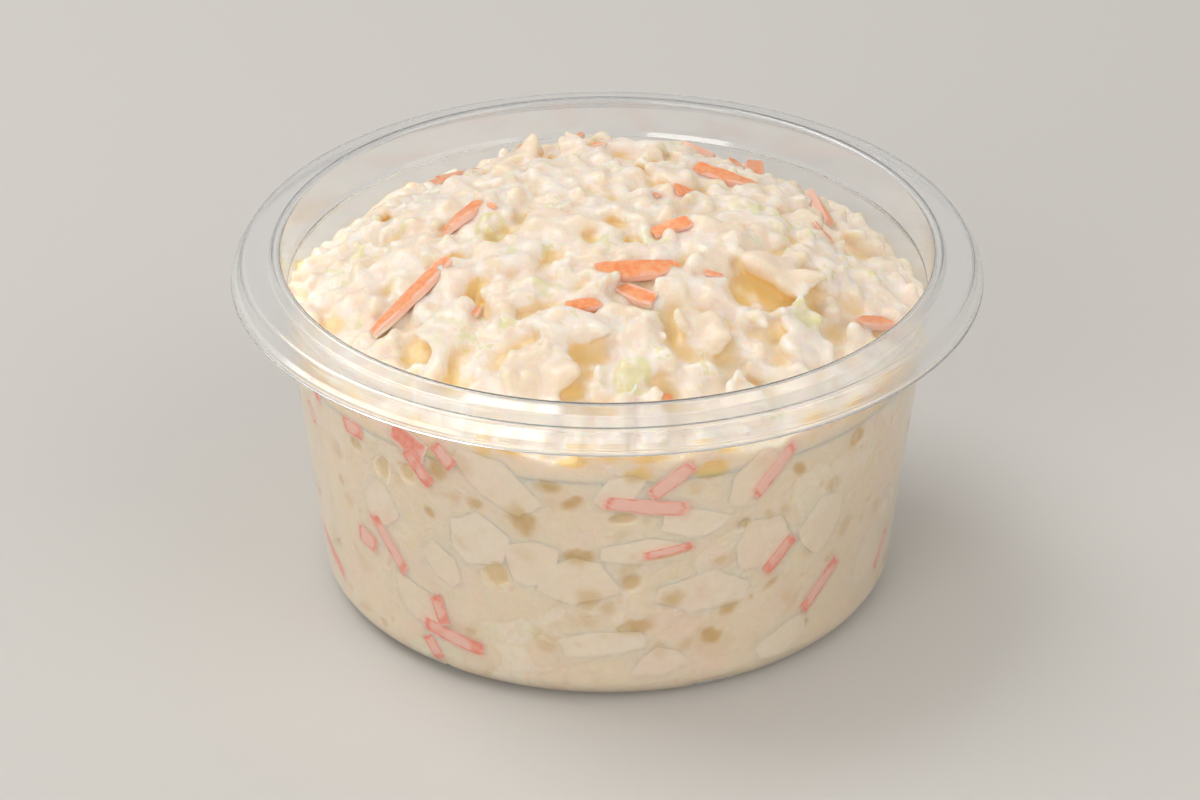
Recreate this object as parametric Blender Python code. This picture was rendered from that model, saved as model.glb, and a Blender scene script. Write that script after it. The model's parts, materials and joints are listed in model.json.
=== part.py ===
"""Creamy coleslaw heaped in a clear round deli cup.

Three solids in one frame: the cup's thin wall and base, the stepped rim that goes on from the
wall, and the heap of dressed cabbage and carrot that fills the cup and stands above its rim.
Metres, +Z up, origin at the centre of the cup's base.
"""

import math
import random

import bmesh
import bpy
from mathutils import Matrix, Vector, noise

MM = 0.001
FULL_TURN = 2 * math.pi
GOLDEN_ANGLE = math.pi * (3 - math.sqrt(5))
GOLDEN_STEP = (math.sqrt(5) - 1) / 2

# Cup: a vacuum-formed shell. Radii and heights are those of the middle of the sheet.
CUP_SEGMENTS = 56
MERGE_DISTANCE = 0.001 * MM
SHARP_ANGLE = math.radians(40)
SHEET = 0.5 * MM
BASE_RADIUS = 49.5 * MM
WALL_LEAN = 0.109
CORNER_RADIUS = 5.0 * MM
CORNER_PARTS = 3
BEAD_HEIGHT = 54.7 * MM
BEAD_HALF_WIDTH = 0.9 * MM
BEAD_DEPTH = 0.4 * MM
JOIN_HEIGHT = 56.8 * MM
RIM_TOP_HEIGHT = 63.1 * MM
RIM_TOP_ROUNDING = 0.6 * MM
RIM_PARTS = 2
LEDGE_PARTS = 1
LEDGE_RADIUS = 58.0 * MM
LEDGE_HEIGHT = 59.9 * MM
CREST_RADIUS = 62.5 * MM
CREST_HEIGHT = 60.2 * MM
CREST_ROUNDING = 0.9 * MM
SKIRT_STEP_RADIUS = 63.2 * MM
SKIRT_STEP_HEIGHT = 57.9 * MM
SKIRT_FLARE_RADIUS = 64.1 * MM
SKIRT_FLARE_HEIGHT = 57.4 * MM
SKIRT_EDGE_RADIUS = 64.25 * MM
SKIRT_EDGE_HEIGHT = 56.4 * MM

# Heap: how it lies in the cup, and the form of its crown.
GAP = 0.3 * MM
HEAP_SEGMENTS = 40
HEAP_FLOOR = SHEET + GAP
FOOT_SHARE = 0.97
SLOPE_STEP = 1.0 * MM
CONTACT_HEIGHT = 50.5 * MM
CROWN_HEIGHT = 67.1 * MM
CROWN_POWER = 2.5
# Each swell is (x, y, rise, spread) in millimetres: shoulders and dips of the crown.
SWELLS = (
    (-6, 34, 1.0, 9),
    (-46, 20, -3.0, 12),
    (-26, 38, -3.0, 9),
    (33, 34, -3.0, 10),
    (48, 16, -3.0, 11),
)
CROWN_RECESS = 1.0 * MM
CROWN_RELIEF = 2.2 * MM
CROWN_RELIEF_SIZE = 6.5 * MM
SIDE_RECESS = 1.0 * MM
POCKET_DEPTH = 4.0 * MM
POCKET_SIZE = 9.0 * MM
CROWN_RADII = (53.2, 49, 43, 36, 29, 22, 15, 8)
SIDE_HEIGHTS = (1.6, 4, 9, 15, 21, 27, 33, 38.5, 43)

# Pieces fused to the heap. Pairs are the least and the most, in millimetres.
HEAP_TRIANGLES = 8600
SEED = 7
PIECE_TOP = 50 * MM
UNDERSIDE_SHARE = 0.9
FLAKE_SIDES = 6
FLAKE_SPREAD = 0.25
FLAKE_SWELL = (0.78, 1.12)

CROWN_FLAKES = 92
CROWN_FLAKE_REACH = 51.5 * MM
CROWN_FLAKE_STRAY = 0.12
CROWN_FLAKE_LENGTH = (8, 15)
CROWN_FLAKE_WIDTH_SHARE = (0.45, 0.8)
CROWN_FLAKE_THICKNESS = (2.0, 3.0)
CROWN_FLAKE_TILT = 22
CROWN_FLAKE_BULGE = (0.4, 1.5)
CROWN_FLAKE_LIFT = (-0.9, 0.4)
CROWN_FLAKE_WAVE = 0.5 * MM

WALL_FLAKES = 46
WALL_FLAKE_TURNS = 5
WALL_FLAKE_STRAY = 0.3
WALL_FLAKE_LOWEST = 2.5
WALL_FLAKE_RANGE = 44
WALL_FLAKE_LENGTH = (9, 16)
WALL_FLAKE_WIDTH_SHARE = (0.5, 0.85)
WALL_FLAKE_RECESS = (0, 0.5)
WALL_FLAKE_CLEARANCE = 0.4 * MM
WALL_PIECE_DEPTH = 3.4 * MM

CLUMPS = 54
CLUMP_REACH = 51 * MM
CLUMP_TURN = 2.1
CLUMP_STRAY = 0.2
CLUMP_LENGTH = (2.4, 4.4)
CLUMP_WIDTH = (2.0, 3.4)
CLUMP_HEIGHT = (1.6, 2.8)
CLUMP_LIFT = (-0.6, 0.8)
CLUMP_SWELL = (0.85, 1.15)

CARROT_SLOT = 1
STRIP_PARTS = 3
STRIP_LENGTH = (9, 16)
STRIP_WIDTH = (2.0, 3.0)
STRIP_DEPTH = 2.8 * MM
STRIP_UNDERSIDE_SHARE = 0.8
STRIP_LIFT = 1.3 * MM
STRIP_ARCH = 0.8 * MM
STRIP_LOWEST = 2.0 * MM
# Carrot strips on the crown: (x, y) of one end, heading in degrees, length, width.
CROWN_STRIPS = (
    (-38.0, -23.4, 37, 15, 3.6),
    (-27.0, -1.2, 42, 8, 3.6),
    (-31.0, 21.0, 57, 9, 3.2),
    (-1.5, -19.3, 11, 14, 3.6),
    (2.0, -21.3, -37, 6, 3.0),
    (15.5, 22.4, -16, 11, 3.4),
    (12.0, 9.6, 18, 4, 2.4),
    (8.0, -6.9, 18, 6, 2.6),
    (36.0, 25.0, -77, 12, 1.8),
    (-7.0, -28.2, 10, 6, 2.2),
    (42.0, -22.5, 50, 9, 2.8),
)
# Carrot strips against the wall: turn in degrees and height of one end, slope, length, width.
WALL_STRIPS = (
    (-139.0, 28.8, -53, 12, 2.8),
    (-129.0, 48.5, -35, 6, 4.2),
    (-127.5, 45.0, -48, 7, 3.0),
    (-92.2, 42.5, -12, 16, 2.6),
    (-83.2, 42.2, 41, 10, 3.0),
    (-63.8, 39.5, 50, 12, 2.8),
    (-59.8, 23.2, 46, 8, 2.6),
    (-49.8, 11.8, 43, 12, 2.8),
    (-84.2, 30.5, 10, 9, 1.6),
    (-129.0, 10.5, -11, 13, 3.0),
    (-144.2, 44.2, 4, 6, 2.4),
    (-159.2, 41.0, -60, 4, 2.4),
    (-143.8, 22.5, -18, 5, 3.0),
)

# Strips on the sides that the given ones leave bare: how many, and where in degrees and millimetres.
MORE_CROWN_STRIPS = 6
MORE_CROWN_TURN = (20, 160)
MORE_CROWN_REACH = (36, 47)
MORE_CROWN_LENGTH_SHARE = 0.7
MORE_WALL_STRIPS = 14
MORE_WALL_TURN = (-30, 200)
MORE_WALL_HEIGHT = (6, 44)
MORE_WALL_STEEP_BELOW = 26
MORE_WALL_SLOPE = (-60, 60)
MORE_WALL_HIGH_SLOPE = (-60, 20)


def clear_scene():
    """Removes every object that the scene starts with."""
    for item in list(bpy.data.objects):
        bpy.data.objects.remove(item, do_unlink=True)


def make_material(name, colour, roughness, metallic=0.0, alpha=1.0):
    """A Principled material with its colour, roughness, metallic value and alpha."""
    material = bpy.data.materials.new(name)
    material.use_nodes = True
    shader = material.node_tree.nodes["Principled BSDF"]
    shader.inputs["Base Color"].default_value = (*colour, 1.0)
    shader.inputs["Roughness"].default_value = roughness
    shader.inputs["Metallic"].default_value = metallic
    shader.inputs["Alpha"].default_value = alpha
    material.diffuse_color = (*colour, alpha)
    return material


def object_from(bm, name, materials, collection=None, slot=0):
    """A mesh object made from bm, in the scene or in the collection given, all in one slot."""
    for face in bm.faces:
        face.material_index = slot
    mesh = bpy.data.meshes.new(name)
    bm.to_mesh(mesh)
    bm.free()
    for material in materials:
        mesh.materials.append(material)
    item = bpy.data.objects.new(name, mesh)
    (collection or bpy.context.scene.collection).objects.link(item)
    return item


# Cup


def wall_radius(height):
    """Radius of the middle of the wall at a height."""
    return BASE_RADIUS + WALL_LEAN * height


def rounded_corner(before, corner, after, radius, parts):
    """Points of the arc that rounds a corner of the profile."""
    to_before = (before - corner).normalized()
    to_after = (after - corner).normalized()
    half = to_before.angle(to_after) / 2
    reach = radius / math.tan(half)
    centre = corner + (to_before + to_after).normalized() * (radius / math.sin(half))
    start = (corner + to_before * reach - centre).normalized()
    end = (corner + to_after * reach - centre).normalized()
    return [centre + start.slerp(end, i / parts) * radius for i in range(parts + 1)]


def cup_path():
    """Middle line of the sheet: the wall's part from the centre of the base, then the rim's part."""
    bead_low = BEAD_HEIGHT - BEAD_HALF_WIDTH
    bead_high = BEAD_HEIGHT + BEAD_HALF_WIDTH
    corners = (
        (0, SHEET / 2, 0, 0),
        (BASE_RADIUS, SHEET / 2, CORNER_RADIUS, CORNER_PARTS),
        (wall_radius(bead_low), bead_low, 0, 0),
        (wall_radius(BEAD_HEIGHT) - BEAD_DEPTH, BEAD_HEIGHT, 0, 0),
        (wall_radius(bead_high), bead_high, 0, 0),
        (wall_radius(JOIN_HEIGHT), JOIN_HEIGHT, 0, 0),
        (wall_radius(RIM_TOP_HEIGHT), RIM_TOP_HEIGHT, RIM_TOP_ROUNDING, RIM_PARTS),
        (LEDGE_RADIUS, LEDGE_HEIGHT, RIM_TOP_ROUNDING, LEDGE_PARTS),
        (CREST_RADIUS, CREST_HEIGHT, CREST_ROUNDING, RIM_PARTS),
        (SKIRT_STEP_RADIUS, SKIRT_STEP_HEIGHT, 0, 0),
        (SKIRT_FLARE_RADIUS, SKIRT_FLARE_HEIGHT, 0, 0),
        (SKIRT_EDGE_RADIUS, SKIRT_EDGE_HEIGHT, 0, 0),
    )
    spots = [Vector((r, z)) for r, z, _, _ in corners]
    path = []
    for i, (_, _, radius, parts) in enumerate(corners):
        if parts:
            path += rounded_corner(spots[i - 1], spots[i], spots[i + 1], radius, parts)
        else:
            path.append(spots[i])
    return path


def offset_path(path, distance):
    """The path moved sideways by a distance, to its right-hand side as it runs."""
    moved = []
    for i, spot in enumerate(path):
        ahead = (path[i + 1] - spot).normalized() if i + 1 < len(path) else None
        behind = (spot - path[i - 1]).normalized() if i else None
        runs = [run for run in (behind, ahead) if run]
        sides = [Vector((run.y, -run.x)) for run in runs]
        middle = sum(sides, Vector((0, 0))).normalized()
        moved.append(spot + middle * (distance / middle.dot(sides[0])))
    return moved


def turned(name, outline, closed, material):
    """A solid turned round the axis from an outline that ends on the axis or is closed."""
    bm = bmesh.new()
    spots = [bm.verts.new((max(spot.x, 0), 0, spot.y)) for spot in outline]
    ends = spots[1:] + spots[:1] if closed else spots[1:]
    edges = [bm.edges.new(pair) for pair in zip(spots, ends)]
    bmesh.ops.spin(
        bm,
        geom=spots + edges,
        cent=(0, 0, 0),
        axis=(0, 0, 1),
        angle=FULL_TURN,
        steps=CUP_SEGMENTS,
        use_merge=False,
    )
    bmesh.ops.remove_doubles(bm, verts=bm.verts, dist=MERGE_DISTANCE)
    bmesh.ops.recalc_face_normals(bm, faces=bm.faces)
    item = object_from(bm, name, [material])
    item.data.shade_smooth()
    item.data.set_sharp_from_angle(angle=SHARP_ANGLE)
    return item


def make_cup(material):
    """The clear cup: its base and wall, and the stepped and skirted rim that goes on from them."""
    path = cup_path()
    join = min(range(len(path)), key=lambda i: abs(path[i].y - JOIN_HEIGHT))
    right = offset_path(path, SHEET / 2)
    left = offset_path(path, -SHEET / 2)
    for side in (right, left):
        side[0].x = 0
    turned("cup", right[: join + 1] + left[: join + 1][::-1], False, material)
    turned("cup_rim", right[join:] + left[join:][::-1], True, material)


# Heap


def fill_radius(height):
    """How far out the heap may reach at a height, a gap clear of the cup."""
    slant = math.sqrt(1 + WALL_LEAN**2)
    arc_height = SHEET / 2 + CORNER_RADIUS
    if height >= arc_height:
        return wall_radius(height) - (SHEET / 2 + GAP) * slant
    reach = CORNER_RADIUS - SHEET / 2 - GAP
    drop = min(arc_height - height, reach)
    return wall_radius(arc_height) - CORNER_RADIUS * slant + math.sqrt(reach**2 - drop**2)


def crown_height(x, y):
    """Height of the crown's even surface over a point."""
    out = min(math.hypot(x, y) / fill_radius(CONTACT_HEIGHT), 1.0)
    height = CROWN_HEIGHT - (CROWN_HEIGHT - CONTACT_HEIGHT) * out**CROWN_POWER
    for swell_x, swell_y, rise, spread in SWELLS:
        away = math.hypot(x - swell_x * MM, y - swell_y * MM) / (spread * MM)
        height += rise * MM * math.exp(-(away**2))
    return height


def crown_point(x, y, lift=0.0):
    """The point of the crown over (x, y), raised by lift."""
    return Vector((x, y, crown_height(x, y) + lift))


def crown_normal(x, y):
    """Which way the crown's even surface faces over (x, y)."""
    rise_x = crown_height(x + SLOPE_STEP, y) - crown_height(x - SLOPE_STEP, y)
    rise_y = crown_height(x, y + SLOPE_STEP) - crown_height(x, y - SLOPE_STEP)
    return Vector((-rise_x, -rise_y, 2 * SLOPE_STEP)).normalized()


def wall_point(turn, height, depth):
    """A point on the heap's side, depth inwards of where the heap may reach."""
    radius = fill_radius(height) - depth
    return Vector((radius * math.cos(turn), radius * math.sin(turn), height))


def pocket_depth(point):
    """How deep the side is hollowed at a point, in soft round pockets."""
    return POCKET_DEPTH * max(0.0, noise.noise(point / POCKET_SIZE))


def keep_inside(point):
    """The point, drawn in to where the heap may reach."""
    reach = fill_radius(max(point.z, HEAP_FLOOR))
    out = math.hypot(point.x, point.y)
    if out > reach:
        point = Vector((point.x * reach / out, point.y * reach / out, point.z))
    return point


def core_rings():
    """Rings of points of the bare core, from its floor up over the crown."""
    rings = []
    for height in SIDE_HEIGHTS:
        ring = []
        for i in range(HEAP_SEGMENTS):
            spot = wall_point(FULL_TURN * i / HEAP_SEGMENTS, height * MM, SIDE_RECESS)
            inward = pocket_depth(spot) / math.hypot(spot.x, spot.y)
            ring.append(spot - Vector((spot.x, spot.y, 0)) * inward)
        rings.append(ring)
    for radius in CROWN_RADII:
        ring = []
        for i in range(HEAP_SEGMENTS):
            turn = FULL_TURN * i / HEAP_SEGMENTS
            x = radius * MM * math.cos(turn)
            y = radius * MM * math.sin(turn)
            relief = CROWN_RELIEF * noise.noise(Vector((x, y, 0)) / CROWN_RELIEF_SIZE)
            ring.append(crown_point(x, y, relief - CROWN_RECESS))
        rings.append(ring)
    return rings


def make_core(food):
    """The bare core that the pieces are fused to."""
    bm = bmesh.new()
    rings = [[bm.verts.new(spot) for spot in ring] for ring in core_rings()]
    for low, high in zip(rings, rings[1:]):
        for i in range(HEAP_SEGMENTS):
            j = (i + 1) % HEAP_SEGMENTS
            bm.faces.new((low[i], low[j], high[j], high[i]))
    floor = bm.verts.new((0, 0, HEAP_FLOOR))
    low_ring = [vert.co * FOOT_SHARE for vert in rings[0]]
    foot = [bm.verts.new((spot.x, spot.y, HEAP_FLOOR)) for spot in low_ring]
    top = bm.verts.new(crown_point(0, 0, -CROWN_RECESS))
    for i in range(HEAP_SEGMENTS):
        j = (i + 1) % HEAP_SEGMENTS
        bm.faces.new((foot[i], foot[j], rings[0][j], rings[0][i]))
        bm.faces.new((floor, foot[j], foot[i]))
        bm.faces.new((top, rings[-1][i], rings[-1][j]))
    bmesh.ops.triangulate(bm, faces=bm.faces)
    return object_from(bm, "coleslaw", food)


def flake_solid(name, outer, inner, food, collection):
    """A flake between two matching outlines, each a list of rim points and a middle point."""
    bm = bmesh.new()
    top = [bm.verts.new(keep_inside(spot)) for spot in outer]
    low = [bm.verts.new(keep_inside(spot)) for spot in inner]
    sides = len(outer) - 1
    for i in range(sides):
        j = (i + 1) % sides
        bm.faces.new((top[sides], top[i], top[j]))
        bm.faces.new((low[sides], low[j], low[i]))
        bm.faces.new((top[i], low[i], low[j]))
        bm.faces.new((top[i], low[j], top[j]))
    return object_from(bm, name, food, collection)


def flake_outline(draw, length, width):
    """Uneven outline of a flake about its middle, as (along, across) pairs and the middle."""
    spots = []
    for i in range(FLAKE_SIDES):
        turn = FULL_TURN * (i + draw.uniform(-FLAKE_SPREAD, FLAKE_SPREAD)) / FLAKE_SIDES
        swell = draw.uniform(*FLAKE_SWELL)
        along = length / 2 * swell * math.cos(turn)
        across = width / 2 * swell * math.sin(turn)
        spots.append((along, across))
    spots.append((0.0, 0.0))
    return spots


def add_crown_flake(draw, index, food, collection):
    """One chopped leaf flake lying on the crown, wavy and a little tilted."""
    out = math.sqrt((index + 0.5) / CROWN_FLAKES) * CROWN_FLAKE_REACH
    turn = index * GOLDEN_ANGLE + draw.uniform(-CROWN_FLAKE_STRAY, CROWN_FLAKE_STRAY)
    x = out * math.cos(turn)
    y = out * math.sin(turn)
    length = draw.uniform(*CROWN_FLAKE_LENGTH) * MM
    width = length * draw.uniform(*CROWN_FLAKE_WIDTH_SHARE)
    thick = draw.uniform(*CROWN_FLAKE_THICKNESS) * MM
    slant = math.radians(draw.uniform(-CROWN_FLAKE_TILT, CROWN_FLAKE_TILT))
    tilt = Matrix.Rotation(slant, 3, (1, 0, 0))
    heading = Matrix.Rotation(draw.uniform(0, FULL_TURN), 3, (0, 0, 1))
    lie = crown_normal(x, y).to_track_quat("Z", "Y").to_matrix() @ heading @ tilt
    bulge = draw.uniform(*CROWN_FLAKE_BULGE) * MM
    wave = draw.uniform(0, FULL_TURN)
    middle = crown_point(x, y, draw.uniform(*CROWN_FLAKE_LIFT) * MM)
    outer, inner = [], []
    for along, across in flake_outline(draw, length, width):
        rise = bulge
        if along or across:
            rise = CROWN_FLAKE_WAVE * math.sin(math.atan2(across, along) * 2 + wave)
        low = Vector((along * UNDERSIDE_SHARE, across * UNDERSIDE_SHARE, rise - thick / 2))
        outer.append(middle + lie @ Vector((along, across, rise + thick / 2)))
        inner.append(middle + lie @ low)
    flake_solid("flake", outer, inner, food, collection)


def add_wall_flake(draw, index, food, collection):
    """One leaf flake pressed flat against the wall."""
    height = (WALL_FLAKE_LOWEST + WALL_FLAKE_RANGE * ((index * GOLDEN_STEP + 0.3) % 1)) * MM
    stray = draw.uniform(-WALL_FLAKE_STRAY, WALL_FLAKE_STRAY)
    turn = FULL_TURN * WALL_FLAKE_TURNS * (index + stray) / WALL_FLAKES
    length = draw.uniform(*WALL_FLAKE_LENGTH) * MM
    width = length * draw.uniform(*WALL_FLAKE_WIDTH_SHARE)
    lean = draw.uniform(0, math.pi)
    depth = draw.uniform(*WALL_FLAKE_RECESS) * MM
    outer, inner = [], []
    for along, across in flake_outline(draw, length, width):
        sideways = along * math.cos(lean) - across * math.sin(lean)
        upwards = along * math.sin(lean) + across * math.cos(lean)
        spot_height = max(height + upwards, HEAP_FLOOR + WALL_FLAKE_CLEARANCE)
        spot_height = min(spot_height, PIECE_TOP)
        spot_turn = turn + sideways / fill_radius(height)
        outer.append(wall_point(spot_turn, spot_height, depth))
        inner.append(wall_point(spot_turn, spot_height, WALL_PIECE_DEPTH))
    flake_solid("wall_flake", outer, inner, food, collection)


def add_clump(draw, index, food, collection):
    """One rounded clump of chopped cabbage bound by dressing."""
    out = math.sqrt((index + 0.3) / CLUMPS) * CLUMP_REACH
    turn = index * GOLDEN_ANGLE + CLUMP_TURN + draw.uniform(-CLUMP_STRAY, CLUMP_STRAY)
    x = out * math.cos(turn)
    y = out * math.sin(turn)
    sizes = [draw.uniform(*limits) for limits in (CLUMP_LENGTH, CLUMP_WIDTH, CLUMP_HEIGHT)]
    size = Vector(sizes) * MM
    spin = Matrix.Rotation(draw.uniform(0, FULL_TURN), 3, (0, 0, 1))
    lie = crown_normal(x, y).to_track_quat("Z", "Y").to_matrix() @ spin
    middle = crown_point(x, y, draw.uniform(*CLUMP_LIFT) * MM)
    bm = bmesh.new()
    bmesh.ops.create_icosphere(bm, subdivisions=1, radius=1)
    for vert in bm.verts:
        swell = draw.uniform(*CLUMP_SWELL)
        vert.co = keep_inside(middle + lie @ (Vector(vert.co * swell) * size))
    object_from(bm, "clump", food, collection)


def strip_solid(name, spots, sides, ups, width, depth, food, collection):
    """A cut carrot strip along spots, with its width along sides and its depth below ups."""
    bm = bmesh.new()
    rings = []
    for spot, side, up in zip(spots, sides, ups):
        across = side * (width / 2)
        under = across * STRIP_UNDERSIDE_SHARE
        low = spot - up * depth
        ring = (spot - across, spot + across, low + under, low - under)
        rings.append([bm.verts.new(keep_inside(corner)) for corner in ring])
    for first, second in zip(rings, rings[1:]):
        for i in range(len(first)):
            j = (i + 1) % len(first)
            bm.faces.new((first[i], first[j], second[j], second[i]))
    bm.faces.new(rings[0][::-1])
    bm.faces.new(rings[-1])
    bmesh.ops.triangulate(bm, faces=bm.faces)
    bmesh.ops.recalc_face_normals(bm, faces=bm.faces)
    return object_from(bm, name, food, collection, CARROT_SLOT)


def add_crown_strip(strip, food, collection):
    """One carrot strip lying on the crown."""
    start_x, start_y, heading, length, width = strip
    run = Vector((math.cos(math.radians(heading)), math.sin(math.radians(heading)), 0))
    spots, sides, ups = [], [], []
    for i in range(STRIP_PARTS + 1):
        part = i / STRIP_PARTS
        along = run * (length * part * MM)
        x = start_x * MM + along.x
        y = start_y * MM + along.y
        arch = math.sin(math.pi * part) * STRIP_ARCH
        spots.append(crown_point(x, y, STRIP_LIFT + arch))
        ups.append(crown_normal(x, y))
        sides.append(run.cross(ups[-1]).normalized())
    strip_solid("strip", spots, sides, ups, width * MM, STRIP_DEPTH, food, collection)


def add_wall_strip(strip, food, collection):
    """One carrot strip pressed against the wall."""
    turn, height, slope, length, width = strip
    radius = fill_radius(height * MM)
    slope = math.radians(slope)
    spots, sides, ups = [], [], []
    for i in range(STRIP_PARTS + 1):
        along = length * MM * i / STRIP_PARTS
        spot_turn = math.radians(turn) + along * math.cos(slope) / radius
        spot_height = min(height * MM + along * math.sin(slope), PIECE_TOP)
        out = Vector((math.cos(spot_turn), math.sin(spot_turn), 0))
        around = Vector((-out.y, out.x, 0))
        spots.append(wall_point(spot_turn, max(spot_height, STRIP_LOWEST), 0))
        sides.append(around * -math.sin(slope) + Vector((0, 0, math.cos(slope))))
        ups.append(out)
    strip_solid("wall_strip", spots, sides, ups, width * MM, WALL_PIECE_DEPTH, food, collection)


def drawn_crown_strip(draw, index):
    """A carrot strip on the far side of the crown, in the form of CROWN_STRIPS."""
    first, last = MORE_CROWN_TURN
    turn = math.radians(first + (last - first) * (index + 0.5) / MORE_CROWN_STRIPS)
    out = draw.uniform(*MORE_CROWN_REACH)
    length = draw.uniform(*STRIP_LENGTH) * MORE_CROWN_LENGTH_SHARE
    width = draw.uniform(*STRIP_WIDTH)
    return out * math.cos(turn), out * math.sin(turn), draw.uniform(0, 360), length, width


def drawn_wall_strip(draw, index):
    """A carrot strip on the far side of the wall, in the form of WALL_STRIPS."""
    first, last = MORE_WALL_TURN
    lowest, highest = MORE_WALL_HEIGHT
    turn = first + (last - first) * (index + draw.uniform(0.2, 0.8)) / MORE_WALL_STRIPS
    height = lowest + (highest - lowest) * ((index * GOLDEN_STEP + 0.1) % 1)
    steep = height < MORE_WALL_STEEP_BELOW
    slope = draw.uniform(*(MORE_WALL_SLOPE if steep else MORE_WALL_HIGH_SLOPE))
    return turn, height, slope, draw.uniform(*STRIP_LENGTH), draw.uniform(*STRIP_WIDTH)


def add_pieces(food, collection):
    """Every piece that is fused to the core, in a collection of their own."""
    draw = random.Random(SEED)
    for strip in CROWN_STRIPS:
        add_crown_strip(strip, food, collection)
    for index in range(MORE_CROWN_STRIPS):
        add_crown_strip(drawn_crown_strip(draw, index), food, collection)
    for strip in WALL_STRIPS:
        add_wall_strip(strip, food, collection)
    for index in range(MORE_WALL_STRIPS):
        add_wall_strip(drawn_wall_strip(draw, index), food, collection)
    for index in range(CROWN_FLAKES):
        add_crown_flake(draw, index, food, collection)
    for index in range(WALL_FLAKES):
        add_wall_flake(draw, index, food, collection)
    for index in range(CLUMPS):
        add_clump(draw, index, food, collection)


def apply_modifier(item, modifier):
    """Applies one modifier of an object."""
    with bpy.context.temp_override(object=item, active_object=item):
        bpy.ops.object.modifier_apply(modifier=modifier.name)


def fuse(core, collection):
    """Joins the collection's pieces to the core in one Boolean union, and removes them."""
    modifier = core.modifiers.new("fuse pieces", "BOOLEAN")
    modifier.operation = "UNION"
    modifier.operand_type = "COLLECTION"
    modifier.collection = collection
    modifier.solver = "EXACT"
    apply_modifier(core, modifier)
    for item in list(collection.objects):
        bpy.data.objects.remove(item, do_unlink=True)
    bpy.data.collections.remove(collection)


def islands(bm):
    """The connected groups of faces in bm."""
    left = set(bm.faces)
    groups = []
    while left:
        front = [left.pop()]
        group = list(front)
        while front:
            face = front.pop()
            near = {other for edge in face.edges for other in edge.link_faces}
            fresh = near & left
            left -= fresh
            front += fresh
            group += fresh
        groups.append(group)
    return groups


def keep_largest(item):
    """Fills sealed hollows and drops loose scraps: only the largest shell stays."""
    bm = bmesh.new()
    bm.from_mesh(item.data)
    groups = sorted(islands(bm), key=len, reverse=True)
    scraps = [face for group in groups[1:] for face in group]
    bmesh.ops.delete(bm, geom=scraps, context="FACES")
    bmesh.ops.triangulate(bm, faces=bm.faces)
    bm.to_mesh(item.data)
    bm.free()


def thin_out(item):
    """Merges the smallest facets that the union left, down to the heap's share of triangles."""
    modifier = item.modifiers.new("thin out", "DECIMATE")
    modifier.ratio = min(1.0, HEAP_TRIANGLES / len(item.data.polygons))
    apply_modifier(item, modifier)


def make_heap(food):
    """The heap: its core with flakes, clumps and carrot strips fused on."""
    core = make_core(food)
    pieces = bpy.data.collections.new("heap pieces")
    bpy.context.scene.collection.children.link(pieces)
    add_pieces(food, pieces)
    fuse(core, pieces)
    keep_largest(core)
    thin_out(core)
    return core


def main():
    clear_scene()
    clear_plastic = make_material("clear plastic", (0.86, 0.88, 0.9), 0.08, alpha=0.35)
    dressed_cabbage = make_material("dressed cabbage", (0.9, 0.82, 0.62), 0.42)
    carrot = make_material("carrot", (0.88, 0.36, 0.16), 0.4)
    make_cup(clear_plastic)
    make_heap([dressed_cabbage, carrot])


main()
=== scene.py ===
"""Creamy coleslaw heaped in a clear round deli cup: its surfaces, the light and the camera.

The frame holds three solids: the cup, its rim and the heap. Here cup and rim become one smooth
sheet of clear plastic, and the heap becomes its pressed side, flakes of cabbage and strips of
carrot on the wall, the dressed crown and the strips of carrot on it.
"""

import json
import logging
import math
import random
from dataclasses import dataclass, replace
from enum import Enum
from typing import Any, Iterable, Iterator, Sequence

import bmesh
import bpy
import numpy as np
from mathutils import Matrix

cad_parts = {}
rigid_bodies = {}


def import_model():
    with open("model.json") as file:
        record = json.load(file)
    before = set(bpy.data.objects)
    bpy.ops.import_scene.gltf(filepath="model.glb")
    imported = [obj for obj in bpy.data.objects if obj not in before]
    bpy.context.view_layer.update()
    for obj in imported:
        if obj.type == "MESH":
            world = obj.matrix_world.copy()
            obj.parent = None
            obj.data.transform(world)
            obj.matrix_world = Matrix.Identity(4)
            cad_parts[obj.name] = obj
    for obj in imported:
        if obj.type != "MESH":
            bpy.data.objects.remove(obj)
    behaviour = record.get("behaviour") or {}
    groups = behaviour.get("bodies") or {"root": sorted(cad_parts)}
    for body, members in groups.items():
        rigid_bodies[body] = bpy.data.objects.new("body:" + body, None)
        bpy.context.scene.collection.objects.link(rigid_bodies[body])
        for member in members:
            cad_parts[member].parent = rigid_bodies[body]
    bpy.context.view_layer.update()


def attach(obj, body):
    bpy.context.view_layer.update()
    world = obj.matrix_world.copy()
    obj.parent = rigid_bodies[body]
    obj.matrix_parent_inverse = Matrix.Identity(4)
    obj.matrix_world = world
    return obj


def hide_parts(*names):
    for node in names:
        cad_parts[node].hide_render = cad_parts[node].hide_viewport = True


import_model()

import openvdb
from mathutils import Euler, Matrix, Vector
from mathutils.bvhtree import BVHTree
from mathutils.kdtree import KDTree

LOG = logging.getLogger("coleslaw")
MM = 0.001
FULL_TURN = 2 * math.pi
GOLDEN_TURN = math.pi * (3 - math.sqrt(5))
GOLDEN_STEP = (math.sqrt(5) - 1) / 2
BODY = "root"
Colour = tuple[float, float, float]
Range = tuple[float, float]


class Slot(Enum):
    """The record's material slots."""

    PLASTIC = "clear_plastic"
    FOOD = "coleslaw"


class Mark(Enum):
    """Named values that the heap's meshes carry for their materials."""

    # The hollow mark holds how much golden painted shade a point of salad gets; pressed pieces
    # first store their run from end to end in it.
    HOLLOW = "hollow"
    TONE = "tone"
    COAT = "coat"
    BLUSH = "blush"


# Node trees


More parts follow.
